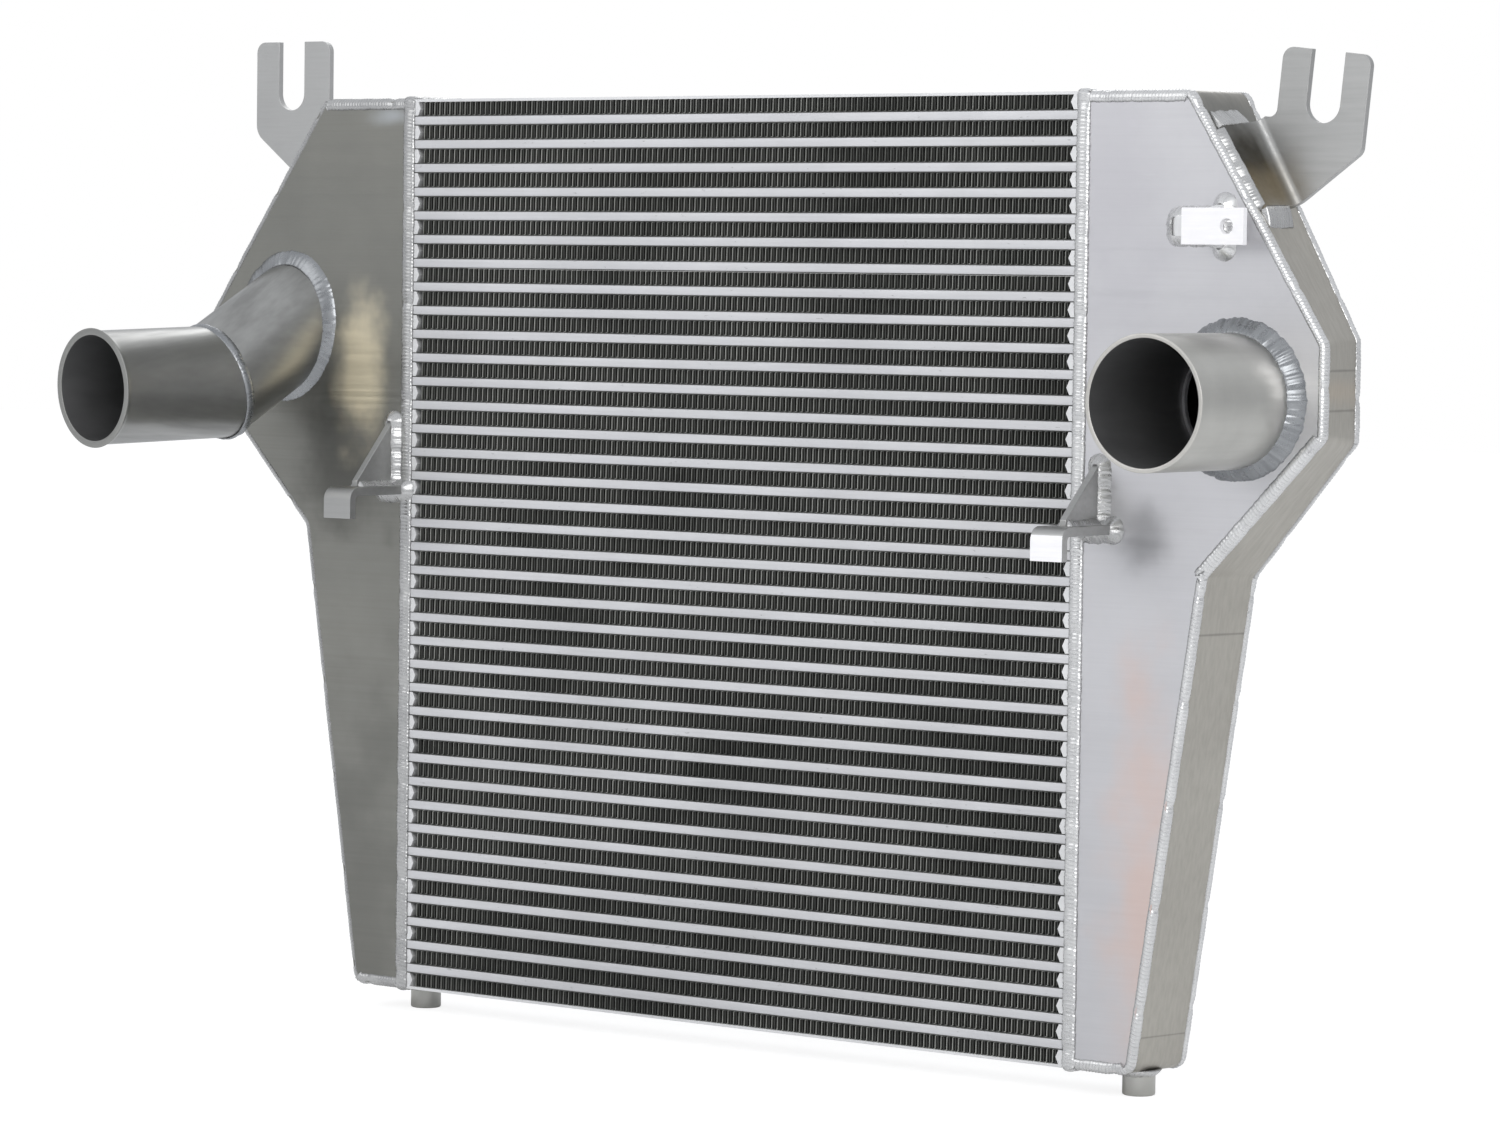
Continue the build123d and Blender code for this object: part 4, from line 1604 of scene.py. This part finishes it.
def fillet(
    across: float, up: float, bulge: float = 0.9 * MM, bite: float = 0.8 * MM, **more
) -> BeadShape:
    """Section of a fillet weld that fills a corner.

    Args:
        across: Its leg along the drawing.
        up: Its leg out of the drawing.
        bulge: How far it stands proud of the straight line between its toes.
        bite: How far its toes reach into what it joins.
        **more: Other values of the bead.

    Returns:
        The section.
    """
    half = math.hypot(across, up) / 2 + bite
    lean = -math.degrees(math.atan2(up, across))
    return BeadShape(half, bulge, 3.0 * MM, lean, across / 2, up / 2, **more)


def loop_round(corners: list[tuple[float, float]], radius: float = 1.5 * MM) -> list[Vector]:
    """Counter-clockwise closed line with softened corners.

    Args:
        corners: Corners in the drawing.
        radius: Radius of each corner.

    Returns:
        Points of the line.
    """
    points = [Vector(corner) for corner in corners]
    start = (points[-1] + points[0]) / 2
    return rounded_path([start, *points, start], radius, 0.4)[0][:-1]


@dataclass
class SmallWelds:
    """Fillet welds of the brackets, the tubes and the pins.

    An oval is its radius up the drawing, and its width over its height.
    """

    shop: WeldShop
    half_bar: float = 12.7 * MM
    bar: float = 6.35 * MM
    half_gusset: float = 2.5 * MM
    gusset_reach: tuple[float, float] = (5.0 * MM, 42.0 * MM)
    outlet_centre: tuple[float, float] = (0.3998, 0.4658)
    outlet_ring: float = 44.6 * MM
    inlet_oval: tuple[float, float] = (47.2 * MM, 0.8386)
    inlet_turn: float = -0.2664
    mitre_oval: tuple[float, float] = (42.69 * MM, 0.9669)
    fork_sheet: float = 4.76 * MM
    fork_toe: float = 13.0 * MM

    def lower_brackets(self) -> None:
        """Beads round the roots of the lower brackets, and between gusset and bar."""
        half_bar, bar, half_gusset = self.half_bar, self.bar, self.half_gusset
        welds = []
        for sizes in (RIGHT, LEFT):
            root = sizes.at(sizes.bracket_width, sizes.bracket_drop)
            top = sizes.gusset_height * MM
            outline = [
                (-half_bar, -bar), (half_bar, -bar), (half_bar, 0), (half_gusset, 0),
                (half_gusset, top), (-half_gusset, top), (-half_gusset, 0), (-half_bar, 0),
            ]
            front = Matrix.Translation((root.x, 0, root.y)) @ facing(Face.FRONT)
            shape = fillet(6.4 * MM, 6.0 * MM, 0.9 * MM, stops=16 * MM, depth=0.3 * MM, ragged=0.3)
            welds.append(
                Weld(loop_round(outline), shape, front, closed=True, seed=51 + sizes.side.value)
            )
            for side in (1, -1):
                spot = Vector((root.x + side * half_gusset, CORE.front, root.y))
                foot = placed(spot, Vector((0, side, 0)), Vector((-side, 0, 0)))
                line = [
                    Vector((end, 0.0)) for end in sorted(-side * end for end in self.gusset_reach)
                ]
                welds.append(Weld(line, fillet(3.6 * MM, 3.6 * MM, 0.5 * MM), foot, seed=55 + side))
        # These beads take the darker copy of the bead: painted shade.
        self.shop.piece("lower_bracket_beads", welds, "left_weld", ("lower_bracket_welds",))

    def upper_bracket(self) -> None:
        """Bead round the two webs of the upper bracket."""
        outline = [
            (350.5, 571.55), (386.04, 571.55), (386.04, 562.55), (391.04, 562.55),
            (391.04, 593.55), (386.04, 593.55), (386.04, 584.55), (350.5, 584.55),
        ]
        line = loop_round([(x * MM, z * MM) for x, z in outline], 2.2 * MM)
        shape = fillet(6.6 * MM, 6.2 * MM, 0.9 * MM, stops=14 * MM, ragged=0.24)
        weld = Weld(line, shape, facing(Face.FRONT), closed=True, seed=61)
        self.shop.piece("upper_bracket_beads", [weld], replaced=("upper_bracket_welds",))

    def tubes(self) -> None:
        """Root welds of both tubes, and the bead round the inlet's mitre."""
        shape = fillet(
            8.2 * MM, 7.6 * MM, 1.1 * MM, 2.0 * MM, pitch=3.4 * MM, stops=18 * MM, depth=0.12 * MM,
            ragged=0.3,
        )
        low = fillet(
            8.5 * MM, 5.0 * MM, 1.1 * MM, 1.6 * MM, pitch=3.4 * MM, stops=24 * MM, depth=0.12 * MM,
            ragged=0.2,
        )
        x, z = self.outlet_centre
        outlet = Matrix.Translation((x, 0, z)) @ facing(Face.FRONT)
        x, _, z = TUBES.inlet_root
        turn = Matrix.Rotation(self.inlet_turn, 4, "Z")
        slanted = Matrix.Translation((x, 0, z)) @ facing(Face.FRONT) @ turn
        root = Weld(ring(self.outlet_ring), shape, outlet, closed=True, seed=71)
        oval = Weld(ring(*self.inlet_oval), low, slanted, closed=True, seed=72)
        before, after = TUBES.inlet_ways
        up = (after - before).normalized()
        mitre = placed(Vector(TUBES.inlet_mitre), up.cross((before + after).normalized()), up)
        thin = BeadShape(
            3.7 * MM, 1.5 * MM, 1.0 * MM, -90.0, depth=0.24 * MM, wander=0.3 * MM, ragged=0.3
        )
        joint = Weld(ring(*self.mitre_oval), thin, mitre, closed=True, seed=73)
        self.shop.piece("tube_root_beads", [root, oval], "shaded_weld", ("tube_welds",))
        self.shop.piece("mitre_bead", [joint], "shaded_weld")

    def pins(self) -> None:
        """Beads round the necks of the pins."""
        welds = []
        for sizes in (RIGHT, LEFT):
            neck = Vector((sizes.at(sizes.pin_width, 0).x, 0, CORE.bottom))
            place = placed(neck, Vector((1, 0, 0)), Vector((0, -1, 0)))
            shape = fillet(3.6 * MM, 3.4 * MM, 0.5 * MM)
            welds.append(
                Weld(ring(TUBES.pin_radius), shape, place, closed=True, seed=81 + sizes.side.value)
            )
        self.shop.piece("pin_neck_beads", welds)

    def forks(self) -> None:
        """Beads across the ends of the forks' flanges, and along the right flange's front edge."""
        thick, reach = self.fork_sheet, self.fork_toe
        near, far = CORE.front + 8.0 * MM, 8.4 * MM
        welds = []
        for sizes in (RIGHT, LEFT):
            top, shoulder = sizes.corners(Face.FRONT)[1:3]
            down = (shoulder - top).normalized()
            normal = Vector((-down.y, down.x)) * sizes.side.value
            out = Vector((normal.x, 0, normal.y))
            start, end = sizes.fork_start * MM, (sizes.fork_start + sizes.fork_flange) * MM
            for way, edge in ((-1, start), (1, end)):
                ends = []
                for depth in (near, far):
                    spot = top + down * edge + normal * sizes.flare(edge, depth)
                    ends.append(Vector((spot.x, depth, spot.y)))
                drop = Vector((way * down.x, 0, way * down.y))
                run = ends[1] - ends[0]
                if drop.cross(run).dot(out) < 0:
                    ends.reverse()
                    run = -run
                place = placed(ends[0], run.normalized(), -drop)
                line = [Vector((0.0, 0.0)), Vector((run.length, 0.0))]
                welds.append(Weld(line, fillet(reach, thick, 0.8 * MM), place, seed=91 + way))
            if sizes.side is Side.RIGHT:
                corner = Vector((top.x, near, top.y))
                place = placed(corner, Vector((down.x, 0, down.y)), Vector((0, 1, 0)))
                line = [Vector((start, 0.0)), Vector((end, 0.0))]
                shape = fillet(4.6 * MM, thick, 0.9 * MM, stops=12 * MM)
                welds.append(Weld(line, shape, place, seed=95))
        # These beads take the darker copy of the bead: painted shade.
        self.shop.piece("fork_beads", welds, "left_weld", ("fork_welds",))

    def build(self) -> None:
        """Make them all."""
        self.lower_brackets()
        self.upper_bracket()
        self.tubes()
        self.pins()
        self.forks()


# --- Tubes and pins ---

Stretch = tuple[float | None, float, int]


@dataclass
class TubeRun:
    """Round tube between two planes, turned on its axis.

    Each stretch of its wall is its distance back from the end (None at the start), its radius and
    the number of its finish.
    """

    origin: Vector
    way: Vector
    start: tuple[Vector, Vector]
    end: tuple[Vector, Vector]
    wall: list[Stretch]
    around: int = 96

    def faces(self, shape: bmesh.types.BMesh) -> None:
        """Add the run to a shape.

        Args:
            shape: The shape; each face takes the number of its stretch's finish.
        """
        way = self.way.normalized()
        helper = Vector((1.0, 0.0, 0.0) if abs(way.z) > 0.9 else (0.0, 0.0, 1.0))
        side = way.cross(helper).normalized()
        up = side.cross(way)
        rows = []
        for back, radius, _ in self.wall:
            row = []
            for index in range(self.around):
                angle = math.tau * index / self.around
                line = self.origin + (side * math.cos(angle) + up * math.sin(angle)) * radius
                point, normal = self.start if back is None else self.end
                reach = (point - line).dot(normal) / way.dot(normal)
                row.append(shape.verts.new(line + way * (reach - (back or 0.0))))
            rows.append(row)
        for row, (_, _, finish), after in zip(rows, self.wall, rows[1:] + rows[:1]):
            for index in range(self.around):
                ahead = (index + 1) % self.around
                face = shape.faces.new((row[index], row[ahead], after[ahead], after[index]))
                face.material_index = finish
                face.smooth = True


def tube_wall(radius: float, lip: tuple[float, ...] = (), soft: float = 0.5 * MM) -> list[Stretch]:
    """Stretches of a tube's wall, from its root outside to its mouth and back inside.

    Args:
        radius: Outside radius.
        lip: Length and rise of a lip rolled outwards, if it has one.
        soft: Rounding of the mouth's edges.

    Returns:
        Distance back from the mouth (None at the root), radius and finish of each stretch.
    """
    inner = radius - TUBES.wall
    rim = radius + (lip[1] if lip else 0.0)
    stretches = [(None, radius, 0)]
    if lip:
        stretches.append((lip[0], radius, 0))
        stretches.append((lip[0] / 2, radius + lip[1] * 0.55, 0))
    stretches += [(soft, rim, 1), (soft * 0.3, rim - soft * 0.3, 1), (0.0, rim - soft, 1)]
    stretches += [
        (0.0, inner + soft, 1), (soft * 0.3, inner + soft * 0.3, 1), (soft, inner, 2),
        (None, inner, 2),
    ]
    return stretches


@dataclass
class Turnings:
    """Tubes and pins, turned round and smooth."""

    finishes: Finishes

    def _piece(
        self, name: str, runs: list[TubeRun], finish: str, replaced: tuple[str, ...] = ()
    ) -> None:
        """Put runs into the scene as one piece.

        Args:
            name: Name of the piece.
            runs: Its runs.
            finish: Finish of the outside.
            replaced: Solids that the piece stands for.
        """
        shape = bmesh.new()
        for run in runs:
            run.faces(shape)
        bmesh.ops.remove_doubles(shape, verts=shape.verts, dist=1e-7)
        bare = [edge for edge in shape.edges if not edge.link_faces]
        bmesh.ops.delete(shape, geom=bare, context="EDGES")
        bmesh.ops.recalc_face_normals(shape, faces=shape.faces)
        mesh = bpy.data.meshes.new(name)
        shape.to_mesh(mesh)
        shape.free()
        # The bore finish is painted shade.
        for key in (finish, f"{finish}_edge", "bore"):
            mesh.materials.append(self.finishes[key])
        mesh.set_sharp_from_angle(angle=math.radians(50))
        finished(name, mesh, replaced)

    def build(self) -> None:
        """Make the outlet, the inlet and the pins."""
        forward = Vector((0.0, -1.0, 0.0))
        plate = (Vector((0.0, CORE.front, 0.0)), forward)
        outlet = Vector(TUBES.outlet_root)
        mouth = (outlet + forward * TUBES.outlet_length, forward)
        straight = TubeRun(outlet, forward, plate, mouth, tube_wall(TUBES.outlet_radius))
        self._piece("straight_tube", [straight], "tube", ("air_tubes",))
        root, mitre = Vector(TUBES.inlet_root), Vector(TUBES.inlet_mitre)
        before, after = TUBES.inlet_ways
        cut = (mitre, (before + after).normalized())
        mouth = (mitre + after * TUBES.inlet_length, after)
        outer, inner = TUBES.inlet_radius, TUBES.inlet_radius - TUBES.wall
        sleeve = [(None, outer, 0), (0.0, outer, 2), (0.0, inner, 2), (None, inner, 2)]
        runs = [
            TubeRun(root, before, plate, cut, sleeve),
            TubeRun(mitre, after, cut, mouth, tube_wall(outer, TUBES.lip)),
        ]
        self._piece("mitred_tube", runs, "inlet_tube")
        pins = []
        for sizes in (RIGHT, LEFT):
            centre = Vector((sizes.at(sizes.pin_width, 0).x, 0.0, 0.0))
            down = Vector((0.0, 0.0, -1.0))
            ends = (centre + Vector((0, 0, CORE.bottom)), down), (centre, down)
            full = TUBES.pin_radius
            shape = [
                (None, full, 0), (1.2 * MM, full, 0), (0.4 * MM, full - 0.3 * MM, 0),
                (0.0, full - 1.0 * MM, 0), (0.0, 0.0, 0), (None, 0.0, 0),
            ]
            pins.append(TubeRun(centre, down, *ends, shape, 64))
        self._piece("turned_pins", pins, "tube", ("pins",))


# --- Sheet and bar pieces, with softened edges ---


@dataclass
class SoftSheets:
    """Copies of the cut and bent pieces, merged, with broken edges and smooth bends.

    Angles are in degrees.
    """

    finishes: Finishes
    nodes: dict
    sharp: float = 38.0
    level: float = 0.6
    broken: float = 0.35 * MM

    def build(self) -> None:
        """Make the copies and put them in place of the solids."""
        for name in ("right_strip", "left_strip", "bottom_caps"):
            self._copy(name, "strip", 0.0)
        for name, finish in (
            ("forks", "bracket"), ("lower_brackets", "bracket"), ("lower_gussets", "bracket"),
            ("upper_bracket_plate", "bright_face"), ("upper_bracket_flat_web", "web"),
            ("upper_bracket_upright_web", "web"),
        ):
            self._copy(name, finish, self.broken)

    def _copy(self, name: str, finish: str, broken: float) -> None:
        """Copy one solid.

        Args:
            name: Its node.
            finish: Finish of the copy.
            broken: Width of the broken edges, 0 for none.
        """
        node = self.nodes[name]
        shape = bmesh.new()
        shape.from_mesh(node.data)
        shape.transform(node.matrix_world)
        bmesh.ops.remove_doubles(shape, verts=shape.verts, dist=1e-6)
        level, limit = math.radians(self.level), math.radians(self.sharp)
        bmesh.ops.dissolve_limit(
            shape, angle_limit=level, verts=shape.verts, edges=shape.edges,
            use_dissolve_boundaries=False,
        )
        rounds = set()
        if broken:
            edges = [
                edge for edge in shape.edges
                if edge.is_manifold and edge.calc_face_angle(0.0) > limit
            ]
            made = bmesh.ops.bevel(
                shape, geom=edges, offset=broken, segments=2, profile=0.5, affect="EDGES",
                clamp_overlap=True,
            )
            rounds = set(made["faces"])
        for face in shape.faces:
            face.smooth = True
        for edge in shape.edges:
            mixed = len({face in rounds for face in edge.link_faces}) > 1
            edge.smooth = not mixed and edge.calc_face_angle(0.0) < limit
        mesh = bpy.data.meshes.new(name)
        shape.to_mesh(mesh)
        shape.free()
        mesh.materials.append(self.finishes[finish])
        if name == "forks":
            self._dress(mesh, "left_fork", lambda face: face.center.x < 0.0)
        if name == "lower_brackets":
            # Only the right bracket's end faces take the bright finish: painted light.
            end = CORE.front - 61.0 * MM
            self._dress(
                mesh, "bright_face",
                lambda face: face.center.y < end and face.normal.y < -0.9 and face.center.x > 0,
            )
        finished(f"finished_{name}", mesh, (name,))

    def _dress(
        self, mesh: bpy.types.Mesh, finish: str, chosen: Callable[[bpy.types.MeshPolygon], bool]
    ) -> None:
        """Give some faces another finish.

        Args:
            mesh: The mesh.
            finish: Name of the finish.
            chosen: Tells whether a face takes it.
        """
        mesh.materials.append(self.finishes[finish])
        for face in mesh.polygons:
            if chosen(face):
                face.material_index = len(mesh.materials) - 1


# --- Studio ---


@dataclass(frozen=True)
class Studio:
    """Floor, lights and camera."""

    camera_place: Triple = (2278.9 * MM, -2991.4 * MM, 543.9 * MM)
    camera_right: Triple = (0.79262, 0.60958, 0.01321)
    camera_up: Triple = (-0.04319, 0.03452, 0.99847)
    lens: float = 129.2

    def build(self) -> None:
        """Put everything round the cooler."""
        self._world()
        self._floor()
        self._lamp("key", (-1.2, -2.6, 1.9), (0.0, 0.0, 0.35), 2.2, 15.0)
        self._lamp("fill", (2.0, -2.0, 1.4), (0.25, 0.0, 0.35), 1.6, 27.0)
        self._lamp("rim", (-1.5, 2.4, 2.2), (0.0, 0.0, 0.4), 1.6, 12.0)
        self._camera()

    def _world(self) -> None:
        """White background, and for the metal a soft pale surround that is darker low down."""
        world = bpy.data.worlds.new("studio")
        build = emptied(world)
        way = build.add("ShaderNodeTexCoord").outputs["Generated"]
        height = build.add("ShaderNodeSeparateXYZ", {0: way}).outputs[2]
        low = build.ramp(height, -0.25, 0.0, 0.38, 0.62)
        level = build.times_plus(build.ramp(height, 0.0, 0.7), 0.22, low)
        surround = build.out("ShaderNodeBackground", {0: (0.92, 0.94, 0.98, 1.0), 1: level})
        white = build.out("ShaderNodeBackground", {0: (1.0, 1.0, 1.0, 1.0), 1: 1.0})
        self._seen_apart(build, surround, white, 1.0, "ShaderNodeOutputWorld")
        bpy.context.scene.world = world

    def _floor(self) -> None:
        """Plain pale floor under the pins."""
        mesh = bpy.data.meshes.new("floor")
        corners = [(12.0 * x, 12.0 * y, 0) for x, y in ((-1, -1), (1, -1), (1, 1), (-1, 1))]
        mesh.from_pydata(corners, [], [(0, 1, 2, 3)])
        floor = stood("floor", mesh)
        material = bpy.data.materials.new("pale_floor")
        build = emptied(material)
        shader = build.out(
            "ShaderNodeBsdfPrincipled", {"Base Color": (0.9, 0.9, 0.9, 1.0), "Roughness": 0.9}
        )
        glow = build.out("ShaderNodeEmission", {0: (1.0, 1.0, 1.0, 1.0), 1: 1.25})
        self._seen_apart(build, shader, glow, 0.65, "ShaderNodeOutputMaterial")
        mesh.materials.append(material)
        floor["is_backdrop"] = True

    def _seen_apart(
        self, build: TreeBuilder, plain: Socket, seen: Socket, share: float, output: str
    ) -> None:
        """Show the camera another surface than the one that lights the cooler.

        Args:
            build: The tree's builder.
            plain: Shader for the light.
            seen: Shader for the camera.
            share: How much of it the camera sees.
            output: Type name of the output node.
        """
        ray = build.add("ShaderNodeLightPath").outputs["Is Camera Ray"]
        mixed = build.out("ShaderNodeMixShader", {0: build.times(ray, share), 1: plain, 2: seen})
        build.link(mixed, build.add(output).inputs[0])

    def _lamp(self, name: str, place: tuple, target: tuple, size: float, power: float) -> None:
        """Add a soft square lamp.

        Args:
            name: The lamp's name.
            place: Where it stands.
            target: What it points at.
            size: Its edge length.
            power: Its power in watts.
        """
        data = bpy.data.lights.new(name, "AREA")
        data.size = size
        data.energy = power
        lamp = stood(name, data)
        lamp.location = place
        lamp.rotation_mode = "QUATERNION"
        lamp.rotation_quaternion = (Vector(target) - Vector(place)).to_track_quat("-Z", "Y")

    def _camera(self) -> None:
        """Add the camera."""
        data = bpy.data.cameras.new("camera")
        data.sensor_width = 36.0
        data.lens = self.lens
        data.clip_start, data.clip_end = 0.05, 50.0
        camera = stood("camera", data)
        right, up = Vector(self.camera_right), Vector(self.camera_up)
        turn = Matrix((right, up, right.cross(up))).transposed().to_4x4()
        camera.matrix_world = Matrix.Translation(self.camera_place) @ turn
        bpy.context.scene.camera = camera


# --- Solids that keep their own shape ---


@dataclass
class PlainSolids:
    """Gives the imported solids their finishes."""

    finishes: Finishes
    nodes: dict

    def build(self) -> None:
        """Dress every solid, whether it is shown or not."""
        for name, node in self.nodes.items():
            node.data.materials.clear()
            node.data.materials.append(self.finishes[self._finish(name)])

    def _finish(self, name: str) -> str:
        """Name of the finish that a solid takes."""
        for words, finish in (
            (("weld",), "weld"), (("right_front",), "right_plate"), (("left_front",), "left_plate"),
            (("_back_plate",), "back_plate"), (("strip", "cap"), "strip"),
            (("charge_bars",), "bar"), (("end_bars", "side_plate"), "end_bar"),
            (("fins", "parting", "turbulators"), "fin"), (("tubes", "pins"), "tube"),
            (("bracket_plate",), "bright_face"),
        ):
            if any(word in name for word in words):
                return finish
        return "bracket"


def boxed(corners: tuple) -> list[list[float]]:
    """Two corners of a box as plain lists."""
    return [list(map(float, corner)) for corner in corners]


def main() -> None:
    """Build the dressed cooler in its studio."""
    logging.basicConfig(level=logging.INFO, format="%(message)s")
    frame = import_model()
    solids_box = boxed(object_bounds())
    bpy.context.scene.view_settings.view_transform = "Standard"
    finishes = Finishes(Effects())
    PlainSolids(finishes, frame["nodes"]).build()
    FinPack(finishes["fin"]).build()
    ChargeBars(finishes["bar"]).build()
    shop = WeldShop(WeldTree(), finishes, *map(Vector, solids_box))
    for sizes in (RIGHT, LEFT):
        TankWelds(sizes, shop).build()
    SmallWelds(shop).build()
    Turnings(finishes).build()
    SoftSheets(finishes, frame["nodes"]).build()
    Studio().build()


if __name__ == "__main__":
    main()
